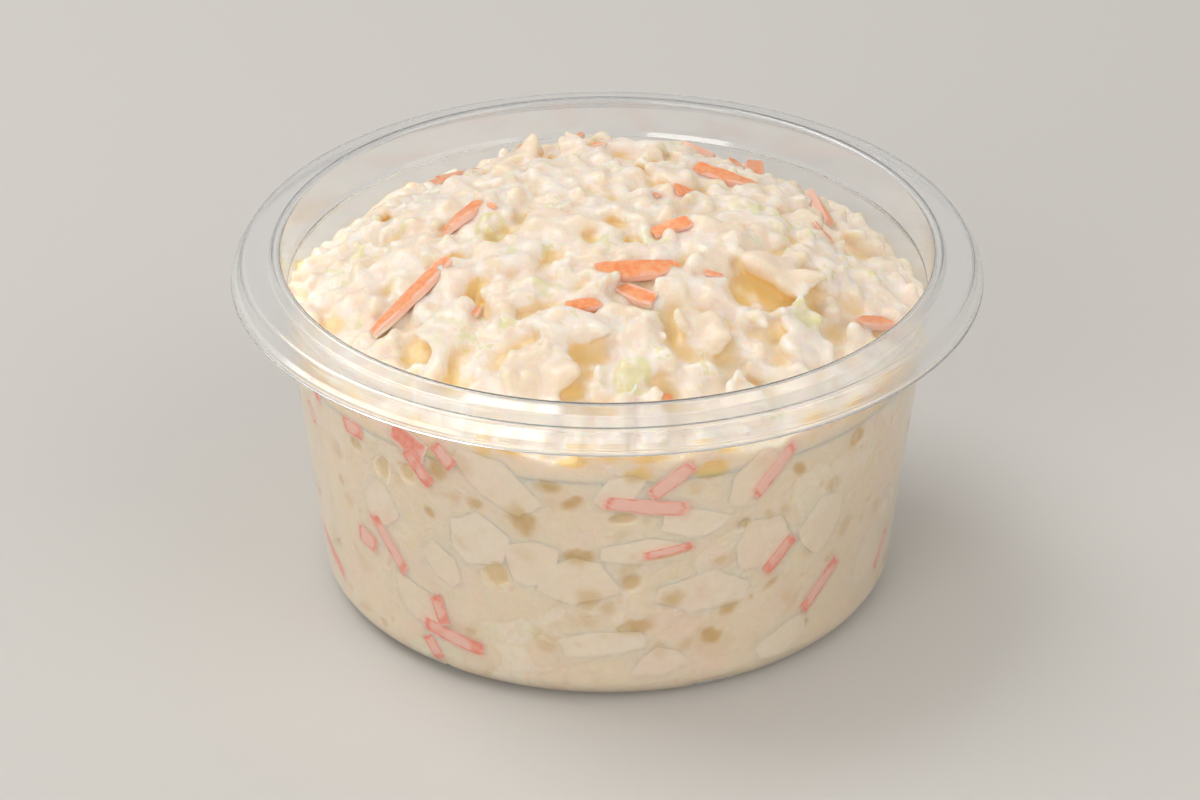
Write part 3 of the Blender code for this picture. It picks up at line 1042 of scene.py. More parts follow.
@dataclass
class PressedSide:
    """The salad pressed against the wall, flat where it touches and hollow between."""

    form: HeapForm = HEAP
    columns: int = 800
    row_step: float = 0.45 * MM
    low: float = 0.6 * MM
    foot_share: float = 0.965
    high: float = 45.5 * MM
    lap: float = 1.2 * MM
    lap_inset: float = 0.35 * MM
    pocket_top: float = 54 * MM
    hidden_pockets: int = 44
    pits: int = 420
    streaks: int = 44
    patches: int = 330
    groove_depth: float = 0.07 * MM
    groove_width: float = 0.4 * MM
    corner_height: float = 3.2 * MM
    corner_depth: float = 0.8 * MM
    corner_gaps: float = 5 * MM
    gap_gain: float = 1.4
    gap_loss: float = 0.3
    head_share: float = 0.95
    lap_steps: tuple[float, ...] = (0.3, 0.6, 1.0)
    ragged_swells: tuple[tuple, ...] = ((1.7 * MM, 3, 0.17), (0.8 * MM, 4, 0.07))
    leaf_raggedness: float = 0.5
    plain_tone: float = 0.3
    # The golden painted shade in the grooves along the leaves' edges.
    groove_shade: float = 0.22
    pocket_edge: float = 1.22
    pocket_raggedness: float = 1.3
    # Where the painted golden shade of a pocket reaches past its edge, and how soft it is.
    shade_edge: float = 1.4
    shade_raggedness: float = 1.6
    shade_softness: float = 0.35
    softness: float = 0.85
    upper_crispness: float = 0.4
    middle_height: float = 25 * MM
    nearby: float = 10 * MM
    far_side: Range = (-25, 230)
    pocket_widths: Range = (3.0, 6.5)
    pit_widths: Range = (0.8, 4.6)
    streak_widths: Range = (4, 9)
    shallow: float = 0.1
    sunken: float = 0.6
    slight: float = 0.08
    seed: int = 21

    def pockets(self) -> list[Pocket]:
        """Every pocket: those that show, drawn ones on the far side, and small pits all round."""
        draw = random.Random(self.seed)
        pockets = list(SHOWN_POCKETS)
        for i in range(self.hidden_pockets):
            start, span = self.far_side
            turn = start + span * (i + draw.uniform(0.1, 0.9)) / self.hidden_pockets
            height = 6 + 42 * ((i * GOLDEN_STEP + 0.4) % 1)
            width = draw.uniform(*self.pocket_widths)
            sizes = (turn, height, width, width * draw.uniform(0.5, 1.2), draw.uniform(-40, 40))
            depth = self.sunken if i % 4 == 0 else self.shallow
            pockets.append(Pocket(*sizes, depth, draw.uniform(0.5, 1.0)))
        # Small pits all round, each with a little painted shade.
        for i in range(self.pits):
            turn = 360 * (i * GOLDEN_STEP % 1)
            width = draw.uniform(*self.pit_widths)
            height = draw.uniform(2, 52)
            sizes = (turn, height, width, width * draw.uniform(0.5, 1.6), draw.uniform(-60, 60))
            pockets.append(Pocket(*sizes, self.slight, draw.uniform(0.08, 0.5)))
        # Streaks of painted shade along the top of the side, just below the rim.
        for i in range(self.streaks):
            turn = 360 * (i + draw.uniform(-0.4, 0.4)) / self.streaks
            height = 50 + 2.4 * (i * GOLDEN_STEP % 1)
            width = draw.uniform(*self.streak_widths)
            sizes = (turn, height, width, draw.uniform(1.6, 3.0), draw.uniform(-6, 6))
            pockets.append(Pocket(*sizes, self.slight, draw.uniform(0.4, 0.8)))
        return pockets

    def leaves(self) -> list[Patch]:
        """The leaves that lie against the wall, the lowest first."""
        draw = random.Random(self.seed + 1)
        leaves = []
        for i in range(self.patches):
            height = 54 * ((i * GOLDEN_STEP * 3 + draw.uniform(0, 0.1)) % 1)
            length = draw.uniform(4, 14)
            width = length * draw.uniform(0.35, 0.9)
            turn = 360 * (i * GOLDEN_STEP % 1)
            sizes = (turn, height, length, width, draw.uniform(-80, 80), draw.uniform(2.2, 5))
            leaves.append(Patch(*sizes, draw.uniform(-0.2, 1.1)))
        return leaves

    def offsets(self, turns: np.ndarray, heights: np.ndarray, place: Any) -> tuple[np.ndarray, ...]:
        """Which points lie near a place, and where they lie along and across its lean."""
        across = (turns - math.radians(place.turn) + math.pi) % FULL_TURN - math.pi
        across = across * CUP.wall_radius(place.height * MM)
        up = heights - place.height * MM
        near = np.flatnonzero((np.abs(across) < self.nearby) & (np.abs(up) < self.nearby))
        lean = math.radians(place.lean)
        along = across[near] * math.cos(lean) + up[near] * math.sin(lean)
        aside = up[near] * math.cos(lean) - across[near] * math.sin(lean)
        return near, along, aside

    def relief(self, turns: np.ndarray, heights: np.ndarray) -> tuple[np.ndarray, ...]:
        """The side's relief.

        Args:
            turns: Turns round the axis.
            heights: Heights above the base.

        Returns:
            For each point the depth of the pockets, that of the grooves, the leaf's tone, and
            how much golden painted shade it gets over pockets, pits and leaf edges.
        """
        radius = CUP.wall_radius(self.middle_height)
        place = np.stack([radius * np.cos(turns), radius * np.sin(turns), heights], axis=1)
        ragged = sum(swells(place, size, seed) * share for size, seed, share in self.ragged_swells)
        groove = np.zeros_like(turns)
        tone = np.full_like(turns, self.plain_tone)
        for leaf in self.leaves():
            near, along, aside = self.offsets(turns, heights, leaf)
            half_length, half_width = leaf.length * MM / 2, leaf.width * MM / 2
            x, y = np.abs(along / half_length), np.abs(aside / half_width)
            away = (x**leaf.square + y**leaf.square) ** (1 / leaf.square)
            away += ragged[near] * self.leaf_raggedness
            edge = (1 - away) * half_width
            inside = edge > 0
            line = self.groove_depth * np.exp(-((edge / self.groove_width) ** 2))
            groove[near] = np.where(inside, line, np.maximum(groove[near], line))
            tone[near] = np.where(inside, leaf.tone, tone[near])
        depth = np.zeros_like(turns)
        # Painted shade: a golden line in the groove along each leaf's edge.
        golden_shade = groove / self.groove_depth * self.groove_shade
        for pocket in self.pockets():
            near, along, aside = self.offsets(turns, heights, pocket)
            half_rise = pocket.rise * MM / 2
            away = np.hypot(along / (pocket.width * MM / 2), aside / half_rise)
            soft = self.softness - self.upper_crispness * np.clip(aside / half_rise, -1, 1)
            inner = self.pocket_edge - away - ragged[near] * self.pocket_raggedness
            sunk = pocket.depth * MM * eased(np.clip(inner / soft, 0, 1))
            depth[near] = np.maximum(depth[near], sunk)
            # Painted shade: golden over each pocket and a little past it, its upper edge crisper,
            # where shade falls in the hollow.
            inner = self.shade_edge - away - ragged[near] * self.shade_raggedness
            shaded = eased(np.clip(inner / (soft + self.shade_softness), 0, 1))
            golden_shade[near] = np.maximum(golden_shade[near], pocket.tint * shaded)
        low = np.clip(1 - heights / self.corner_height, 0, 1)
        gaps = swells(place, self.corner_gaps, 6)
        gaps = np.clip(self.gap_gain * gaps - self.gap_loss, 0, 1)
        corner = self.corner_depth * low * gaps
        return depth, groove + corner, tone, golden_shade

    def hollows(self, turns: np.ndarray, heights: np.ndarray) -> np.ndarray:
        """How deep the side is hollowed at each point."""
        depth, groove, *_ = self.relief(turns, heights)
        return depth + groove

    def build(self) -> bpy.types.Object:
        """Makes the side as a closed body.

        Returns:
            The body.
        """
        rows = np.linspace(self.low, self.high, round((self.high - self.low) / self.row_step))
        rows = np.concatenate([rows, self.high + self.lap * np.array(self.lap_steps)])
        turns = np.arange(self.columns) * FULL_TURN / self.columns
        grid_turns, grid_heights = np.meshgrid(turns, rows)
        turn, height = grid_turns.ravel(), grid_heights.ravel()
        depth, groove, tone, golden_shade = self.relief(turn, height)
        reach = np.repeat(self.form.reaches(rows), self.columns)
        lapped = np.clip((height - self.high) / self.lap, 0, 1)
        radius = reach - depth - groove - self.lap_inset * lapped**2
        points = np.stack([radius * np.cos(turn), radius * np.sin(turn), height], axis=1)
        count = len(rows)
        faces = bands(0, self.columns, count - 1)
        caps, ends = [], []
        foot = (0, self.foot_share, CUP.sheet - self.form.into_sheet)
        head = (count - 1, self.head_share, rows[-1])
        for row, share, z in (foot, head):
            ring = points[row * self.columns : (row + 1) * self.columns] * (share, share, 1)
            ring[:, 2] = z
            ends.append(len(points) + sum(len(cap) for cap in caps))
            caps.append(np.concatenate([ring, [[0, 0, z]]]))
        points = np.concatenate([points, *caps])
        top = (count - 1) * self.columns
        for i in range(self.columns):
            j = (i + 1) % self.columns
            faces.append((ends[0] + i, ends[0] + j, j, i))
            faces.append((ends[0] + self.columns, ends[0] + j, ends[0] + i))
            faces.append((top + i, top + j, ends[1] + j, ends[1] + i))
            faces.append((ends[1] + self.columns, ends[1] + i, ends[1] + j))
        mesh = mesh_from("salad_side", points, faces)
        spare = np.zeros(len(points) - len(depth))
        # The hollow mark carries the painted golden shade of the pockets and the leaf edges.
        set_mark(mesh, Mark.HOLLOW, np.concatenate([golden_shade, spare]))
        set_mark(mesh, Mark.TONE, np.concatenate([tone, spare]))
        side = new_object("salad_side", mesh, PRESSED_SALAD)
        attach(side, BODY)
        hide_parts("coleslaw")
        return side


@dataclass(frozen=True)
class Pressed:
    """A piece pressed on the wall: turn and lean in degrees, the rest in millimetres."""

    turn: float
    height: float
    length: float
    width: float
    lean: float = 0.0


SHOWN_LEAVES = tuple(
    Pressed(*sizes)
    for sizes in (
        (-72, 21.6, 16.4, 7.6, -3),
        (-110, 44.0, 16.0, 8.0, -35),
        (-96, 25.5, 13.0, 9.0, 10),
        (-84, 31.5, 14.5, 5.2, 4),
        (-104, 28.5, 10.1, 8.7, 60),
        (-114, 31.0, 10.6, 10.5, 40),
        (-61, 29.5, 11.1, 9.6, 30),
        (-75, 36.5, 11.8, 5.6, -8),
        (-91, 12.4, 15.0, 5.4, 6),
        (-128, 14.0, 12.2, 7.0, -30),
        (-47, 28.8, 10.7, 9.7, 70),
        (-54, 7.2, 12.0, 6.0, 25),
        (-136, 31.5, 9.7, 6.6, 80),
        (-30, 14.2, 12.0, 8.0, 75),
        (-158, 21.5, 12.0, 6.0, 85),
        (-88, 44.0, 9.0, 5.5, 35),
        (-64, 43.5, 12.0, 6.0, 55),
        (-122, 24.0, 9.0, 6.0, -50),
        (-80, 8.0, 9.0, 5.0, 10),
    )
)

SHOWN_WALL_CARROTS = tuple(
    Pressed(*sizes)
    for sizes in (
        (-134.9, 24.0, 12.0, 3.0, -53),
        (-127.0, 47.4, 8.5, 5.2, -30),
        (-125.2, 42.8, 7.2, 3.0, -48),
        (-119.5, 46.8, 5.0, 3.4, -50),
        (-83.4, 40.7, 16.8, 3.0, -10),
        (-79.2, 45.4, 10.0, 3.2, 41),
        (-59.8, 43.8, 11.6, 2.9, 50),
        (-56.8, 26.0, 8.0, 2.8, 46),
        (-45.3, 15.6, 11.6, 2.8, 44),
        (-79.4, 31.2, 9.2, 1.9, 10),
        (-121.4, 9.2, 12.6, 3.2, -11),
        (-123.5, 14.0, 6.0, 3.0, -75),
        (-126.0, 5.5, 5.0, 2.6, -60),
        (-141.2, 44.4, 6.0, 3.4, 4),
        (-158.3, 39.6, 4.4, 2.4, -60),
        (-141.3, 21.9, 5.0, 3.6, -18),
        (-154.0, 46.5, 6.5, 2.2, -70),
    )
)


@dataclass
class PressedPieces:
    """Flat pieces pressed against the wall: leaf flakes, or carrot strips."""

    name: str
    finish: Finish
    shown: tuple[Pressed, ...]
    drawn: int
    into_sheet: float
    lengths: tuple[float, float]
    widths: tuple[float, float]
    cuts: int
    slant: float
    raggedness: float
    seed: int
    from_turn: float = -25.0
    to_turn: float = 205.0
    sides: int = 48
    rings: int = 6
    thick: float = 1.4 * MM
    layer: float = 0.001 * MM
    crispness: float = 14.0
    corner_reach: float = 0.72
    cut_reach: Range = (0.85, 1.0)
    flat_ring: float = 0.88
    bare_share: float = 0.25
    bare_film: tuple[float, float, float] = (0.3, 0.4, -0.25)
    coated_film: tuple[float, float, float] = (0.85, -0.62, -0.4)
    heights: Range = (1.0 * MM, 51 * MM)
    sharp_from: float = math.radians(40)

    def places(self, draw: random.Random) -> list[Pressed]:
        """Those that show, and drawn ones on the far side."""
        places = list(self.shown)
        span = self.to_turn - self.from_turn
        for i in range(self.drawn):
            turn = self.from_turn + span * (i + draw.uniform(0.2, 0.8)) / self.drawn
            height = 6 + 40 * ((i * GOLDEN_STEP + 0.15) % 1)
            width = draw.uniform(*self.widths)
            length = max(draw.uniform(*self.lengths), width)
            places.append(Pressed(turn, height, length, width, draw.uniform(-75, 75)))
        return places

    def outline(self, piece: Pressed, draw: random.Random) -> list[tuple[float, float]]:
        """Outline of a piece that straight cuts make.

        Args:
            piece: The piece's sizes.
            draw: Where its unevenness comes from.

        Returns:
            Points about its middle, in metres.
        """
        cuts = []
        for k in range(self.cuts):
            cut = FULL_TURN * k / self.cuts + draw.uniform(-1, 1) * self.slant
            cuts.append((cut, draw.uniform(*self.cut_reach)))
        phases = [draw.uniform(0, FULL_TURN) for _ in range(3)]
        outline = []
        for i in range(self.sides):
            turn = FULL_TURN * i / self.sides
            nearest = max(max(math.cos(turn - cut), 0) / reach for cut, reach in cuts)
            swell = nearest**self.crispness + self.corner_reach**self.crispness
            swell **= -1 / self.crispness
            ragged = sum(math.sin(turn * (3 * k + 4) + phase) for k, phase in enumerate(phases))
            swell *= 1 + self.raggedness * ragged
            along = math.cos(turn) * swell * piece.length * MM / 2
            across = math.sin(turn) * swell * piece.width * MM / 2
            outline.append((along, across))
        return outline

    def film(self, piece: Pressed, along: float, ring_share: float, bare: bool) -> float:
        """How much dressing covers a point.

        Args:
            piece: The piece.
            along: How far along it the point lies.
            ring_share: How far out towards its edge.
            bare: Whether its middle is bare, and not its edge.

        Returns:
            The cover, over 1 where the piece is hidden.
        """
        edge = min(ring_share / self.flat_ring, 1.0) ** 4
        end = abs(2 * along / (piece.length * MM)) ** 6
        middle, by_edge, by_end = self.bare_film if bare else self.coated_film
        cover = middle + by_edge * edge + by_end * end
        return cover + (1.0 if ring_share >= 1 else 0.0)

    def piece(self, piece: Pressed, into_sheet: float, draw: random.Random) -> bpy.types.Mesh:
        """One pressed piece, bent round the wall.

        Args:
            piece: Where it lies, and its sizes.
            into_sheet: How far it reaches into the sheet.
            draw: Where its unevenness comes from.

        Returns:
            Its mesh.
        """
        lean = math.radians(piece.lean)
        middle_radius = CUP.wall_radius(piece.height * MM)
        points, coats, runs = [], [], []
        outline = self.outline(piece, draw)
        base = draw.uniform(-0.15, 0.15)
        bare = draw.random() < self.bare_share
        for depth_share, ring_share in self.sections():
            for along, across in outline:
                along, across = along * ring_share, across * ring_share
                coats.append(base + self.film(piece, along, ring_share, bare))
                runs.append((along / piece.length + across / piece.width) * 2 / MM)
                sideways = along * math.cos(lean) - across * math.sin(lean)
                upwards = along * math.sin(lean) + across * math.cos(lean)
                height = min(max(piece.height * MM + upwards, self.heights[0]), self.heights[1])
                turn = math.radians(piece.turn) + sideways / middle_radius
                radius = CUP.inner_radius(height, into_sheet) - self.thick * depth_share
                points.append((radius * math.cos(turn), radius * math.sin(turn), height))
        loops = len(points) // self.sides
        faces = bands(0, self.sides, loops - 1, turned=True)
        faces.append(range(self.sides))
        faces.append([(loops - 1) * self.sides + i for i in range(self.sides)][::-1])
        mesh = mesh_from(self.name, points, faces)
        set_mark(mesh, Mark.TONE, np.full(len(points), draw.uniform(0.0, 1.0)))
        set_mark(mesh, Mark.COAT, coats)
        set_mark(mesh, Mark.HOLLOW, runs)
        return mesh

    def sections(self) -> list[tuple[float, float]]:
        """Depth and size shares of the loops, from the middle of the outer face inwards."""
        outer = [(0.0, (i + 1) / self.rings * self.flat_ring) for i in range(self.rings)]
        return outer + [(0.0, 1.0), (0.3, 1.01), (1.0, 0.8)]

    def build(self) -> bpy.types.Object:
        """Makes every piece and joins them.

        Returns:
            One object for the kind.
        """
        draw = random.Random(self.seed)
        meshes = []
        for i, place in enumerate(self.places(draw)):
            meshes.append(self.piece(place, self.into_sheet + i * self.layer, draw))
        whole = joined(self.name, meshes)
        outward_faces(whole)
        whole.set_sharp_from_angle(angle=self.sharp_from)
        item = new_object(self.name, whole, self.finish)
        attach(item, BODY)
        return item


def settle(leaves: bpy.types.Object, side: PressedSide) -> None:
    """Lets the side's tone and its golden painted shade show through the leaves, which fade out at
    one end.

    Args:
        leaves: The leaves, whose hollow mark runs from one end to the other.
        side: The side that they lie on.
    """
    middle, by_end, cover = 0.45, 0.5, 0.45
    points = points_of(leaves.data)
    _, _, tone, golden_shade = side.relief(np.arctan2(points[:, 1], points[:, 0]), points[:, 2])
    share = np.clip(middle + by_end * get_mark(leaves.data, Mark.HOLLOW), 0, 1)
    own = get_mark(leaves.data, Mark.TONE)
    set_mark(leaves.data, Mark.TONE, own * share + tone * (1 - share))
    # The painted pocket shade shows through the leaves, less where their own share is high.
    set_mark(leaves.data, Mark.HOLLOW, golden_shade * (1 - cover * share))


def outward_faces(mesh: bpy.types.Mesh) -> None:
    """Turns every face of a mesh of closed shells outwards."""
    bm = bmesh.new()
    bm.from_mesh(mesh)
    bmesh.ops.recalc_face_normals(bm, faces=bm.faces)
    bm.to_mesh(mesh)
    bm.free()


# The crown


ROOM = "room"
SQUARE_CM_IN_METRE = 1e4


class Chop(Enum):
    """The forms that cabbage is chopped to."""

    LEAF = "leaf"
    RIB = "rib"
    CUBE = "cube"
    CRUMB = "crumb"


@dataclass(frozen=True)
class ChoppedPiece:
    """One chopped piece of unit length, as a closed rounded plate."""

    chop: Chop
    seed: int
    sides: int = 10

    def mesh(self) -> bpy.types.Mesh:
        """The piece's mesh, centred on the origin and facing up."""
        draw = random.Random(self.seed)
        width, thick, ragged = {
            Chop.LEAF: (draw.uniform(0.55, 0.85), 0.15, 0.16),
            Chop.RIB: (draw.uniform(0.3, 0.45), 0.24, 0.10),
            Chop.CUBE: (draw.uniform(0.6, 0.95), 0.5, 0.14),
            Chop.CRUMB: (draw.uniform(0.75, 0.95), 0.65, 0.14),
        }[self.chop]
        curl = draw.uniform(-0.12, 0.22)
        phase = draw.uniform(0, FULL_TURN)
        wave = 0.05 if self.chop is Chop.LEAF else 0.02
        swell = [draw.uniform(1 - ragged, 1 + ragged) for _ in range(self.sides)]
        points = [(0.0, 0.0, thick / 2)]
        for share, lift in ((0.62, 0.5), (1.0, 0.0), (0.62, -0.5)):
            for i in range(self.sides):
                turn = FULL_TURN * i / self.sides
                x = math.cos(turn) * swell[i] * share / 2
                y = math.sin(turn) * swell[i] * share / 2 * width
                bend = curl * (2 * x) ** 2 + wave * math.sin(3 * turn + phase) * share
                points.append((x, y, bend + lift * thick))
        points.append((0.0, 0.0, -thick / 2))
        faces = []
        last = len(points) - 1
        for i in range(self.sides):
            j = (i + 1) % self.sides
            faces.append((0, 1 + i, 1 + j))
            for ring in range(2):
                low = 1 + ring * self.sides
                high = low + self.sides
                faces.append((low + i, high + i, high + j, low + j))
            faces.append((last, last - self.sides + j, last - self.sides + i))
        return mesh_from(self.chop.value, points, faces)


@dataclass(frozen=True)
class Scatter:
    """Chopped pieces scattered over a surface by Geometry Nodes."""

    name: str
    chops: tuple[Chop, ...]
    per_square_cm: float
    smallest: float
    largest: float
    tilt: float
    low: float
    high: float
    seed: int
    kinds: int = 4

    def kit(self) -> bpy.types.Collection:
        """A collection with a few pieces of each form."""
        kit = bpy.data.collections.new(self.name + "_kit")
        for chop in self.chops:
            for i in range(self.kinds):
                mesh = ChoppedPiece(chop, self.seed * 100 + i).mesh()
                kit.objects.link(bpy.data.objects.new(f"{chop.value}_{i}", mesh))
        return kit

    def tree(self) -> bpy.types.NodeTree:
        """Returns:
            The tree, with named inputs.
        """
        tree = bpy.data.node_groups.new(self.name, "GeometryNodeTree")
        sockets = {"Surface": "Geometry", "Kit": "Collection"}
        sockets |= {name: "Float" for name in ("Density", "Smallest", "Largest", "Tilt")}
        sockets |= {"Low": "Float", "High": "Float", "Material": "Material"}
        for name, kind in sockets.items():
            tree.interface.new_socket(name, in_out="INPUT", socket_type=f"NodeSocket{kind}")
        tree.interface.new_socket("Pieces", in_out="OUTPUT", socket_type="NodeSocketGeometry")
        graph = Graph(tree)
        source = graph.add("NodeGroupInput")

        def between(low: Any, high: Any, step: int, kind: str = "FLOAT") -> Wire:
            """A random value for each point."""
            limits = {"Min": low, "Max": high, "Seed": self.seed + step}
            return graph.add("FunctionNodeRandomValue", {"data_type": kind}, limits)

        number = {"data_type": "FLOAT"}
        room = graph.add("GeometryNodeInputNamedAttribute", number, {"Name": ROOM})
        points = graph.add(
            "GeometryNodeDistributePointsOnFaces",
            {"distribute_method": "RANDOM"},
            {
                "Mesh": graph.other(source, "Surface"),
                "Density": graph.other(source, "Density") * room,
                "Seed": self.seed,
            },
        )
        lift = between(graph.other(source, "Low"), graph.other(source, "High"), 1)
        up = {"Vector": graph.other(points, "Normal"), "Scale": lift}
        offset = graph.add("ShaderNodeVectorMath", {"operation": "SCALE"}, up)
        raised = graph.add("GeometryNodeSetPosition", None, {"Geometry": points, "Offset": offset})
        tilt = graph.other(source, "Tilt")
        lowest = graph.add("ShaderNodeCombineXYZ", None, {"X": tilt * -1, "Y": tilt * -1, "Z": 0.0})
        highest = graph.add("ShaderNodeCombineXYZ", None, {"X": tilt, "Y": tilt, "Z": FULL_TURN})
        angles = between(lowest, highest, 2, "FLOAT_VECTOR")
        lie = graph.add(
            "FunctionNodeRotateRotation",
            {"rotation_space": "LOCAL"},
            {
                "Rotation": graph.other(points, "Rotation"),
                "Rotate By": graph.add("FunctionNodeEulerToRotation", None, {"Euler": angles}),
            },
        )
        size = between(graph.other(source, "Smallest"), graph.other(source, "Largest"), 3)
        kit = graph.add(
            "GeometryNodeCollectionInfo",
            None,
            {
                "Collection": graph.other(source, "Kit"),
                "Separate Children": True,
                "Reset Children": True,
            },
        )
        pieces = graph.add(
            "GeometryNodeInstanceOnPoints",
            None,
            {
                "Points": raised,
                "Instance": kit,
                "Pick Instance": True,
                "Rotation": lie,
                "Scale": size,
            },
        )
        toned = graph.add(
            "GeometryNodeStoreNamedAttribute",
            {"data_type": "FLOAT", "domain": "INSTANCE"},
            {"Geometry": pieces, "Name": Mark.TONE.value, "Value": between(0.0, 1.0, 4)},
        )
        plain = graph.add("GeometryNodeRealizeInstances", None, {"Geometry": toned})
        dressed = {"Geometry": plain, "Material": graph.other(source, "Material")}
        graph.add("NodeGroupOutput", None, {0: graph.add("GeometryNodeSetMaterial", None, dressed)})
        return tree

    def over(self, surface: bpy.types.Mesh) -> bpy.types.Mesh:
        """Scatters the pieces.

        Args:
            surface: The surface, whose points hold how much room each place has.

        Returns:
            The pieces as one plain mesh.
        """
        item = new_object(self.name, surface.copy())
        tree = self.tree()
        kit = self.kit()
        bpy.context.scene.collection.children.link(kit)
        modifier = item.modifiers.new(self.name, "NODES")
        modifier.node_group = tree
        values = {
            "Kit": kit,
            "Density": self.per_square_cm * SQUARE_CM_IN_METRE,
            "Smallest": self.smallest,
            "Largest": self.largest,
            "Tilt": self.tilt,
            "Low": self.low,
            "High": self.high,
            "Material": SALAD.material(),
        }
        for socket in tree.interface.items_tree:
            if socket.name in values and socket.in_out == "INPUT":
                modifier[socket.identifier] = values[socket.name]
        pieces = evaluated_mesh(item)
        for piece in list(kit.objects):
            bpy.data.objects.remove(piece)
        bpy.data.collections.remove(kit)
        return pieces


@dataclass(frozen=True)
class Lying:
    """A piece lying on the crown: place, length and width in millimetres, angles in degrees."""

    x: float
    y: float
    heading: float
    length: float
    width: float
    pitch: float = 0.0
    lift: float = 0.6
    thick: float = 1.7


SHOWN_FLAKES = tuple(
    Lying(*sizes)
    for sizes in (
        (-11.5, -40.3, -10, 17, 12, 6, 0.4),
        (-7.0, -32.4, -12, 17, 8, 2, 1.5),
        (29.0, -15.4, -12, 18, 8, 0, 1.6),
        (30.5, -24.0, 60, 11, 8, 10, 0.8),
        (-7.0, 31.9, 80, 10, 6, -28, 2.2),
        (20.0, -7.4, -32, 18, 9, 8, 1.0),
        (-17.0, -12.6, 20, 15, 10, 4, 0.8),
        (-8.5, -4.9, -8, 17, 8, -3, 1.4),
        (-45.0, 0.1, 70, 12, 8, 8, 0.6),
        (-43.0, -11.6, 10, 12, 7, 10, 0.4),
        (-16.0, 28.2, 12, 13, 8, -12, 1.6),
        (3.5, 31.9, -5, 15, 9, -8, 1.8),
        (43.0, 11.2, 65, 13, 9, 12, 1.0),
        (-39.0, 24.1, 55, 11, 9, 12, 1.2),
        (33.0, -30.0, 20, 13, 9, 4, 0.6),
        (15.5, -31.5, -20, 14, 10, 4, 0.8),
        (-27.0, -28.6, 35, 13, 9, 5, 0.8),
        (-20.0, -41.7, 60, 11, 8, 10, 0.6),
        (5.0, -39.1, 30, 10, 7, 5, 0.2),
        (22.0, -42.0, -30, 11, 8, 8, 0.6),
    )
)

# Places where the crown is open down to its core: (x, y, radius), in millimetres.
SHOWN_HOLLOWS = (
    (24.5, -20.5, 3.6),
    (36.5, -21.1, 3.8),
    (11.5, -43.8, 3.6),
    (-13.5, 1.8, 3.2),
    (-24.0, -36.2, 2.8),
    (-38.5, -10.7, 3.0),
    (25.0, -39.0, 2.8),
    (-2.5, -43.7, 3.0),
    (-26.5, -9.6, 2.4),
    (8.5, 25.6, 2.8),
    (-20.5, -23.1, 2.8),
    (43.5, 16.0, 3.0),
    (-9.0, 33.5, 2.6),
    (2.0, 0.7, 2.4),
)

# Places where the crown shows pale green leaf: (x, y, radius), in millimetres.
SHOWN_GREENS = (
    (-19.5, -3.8, 5.0),
    (8.0, -9.5, 4.0),
    (33.0, -23.6, 4.5),
    (4.0, -41.3, 5.0),
    (-10.0, -21.9, 4.0),
    (27.0, 5.1, 4.0),
)

SHOWN_CROWN_CARROTS = tuple(
    Lying(*sizes)
    for sizes in (
        (-33.0, -18.9, 37, 15.5, 3.8),
        (-24.2, 1.6, 42, 8.0, 3.8),
        (-28.6, 30.6, 57, 8.5, 3.4),
        (5.2, -17.9, 11, 14.0, 3.8),
        (5.0, -23.5, -37, 7.0, 3.6),
        (20.8, 20.9, -16, 11.0, 3.6),
        (13.8, 10.2, 18, 4.5, 2.6),
        (10.8, -6.0, 18, 6.5, 2.8),
        (37.4, 21.3, -77, 12.5, 2.0),
        (-4.2, -27.6, 10, 6.0, 2.4),
        (45.0, -18.6, 50, 9.0, 3.0),
    )
)


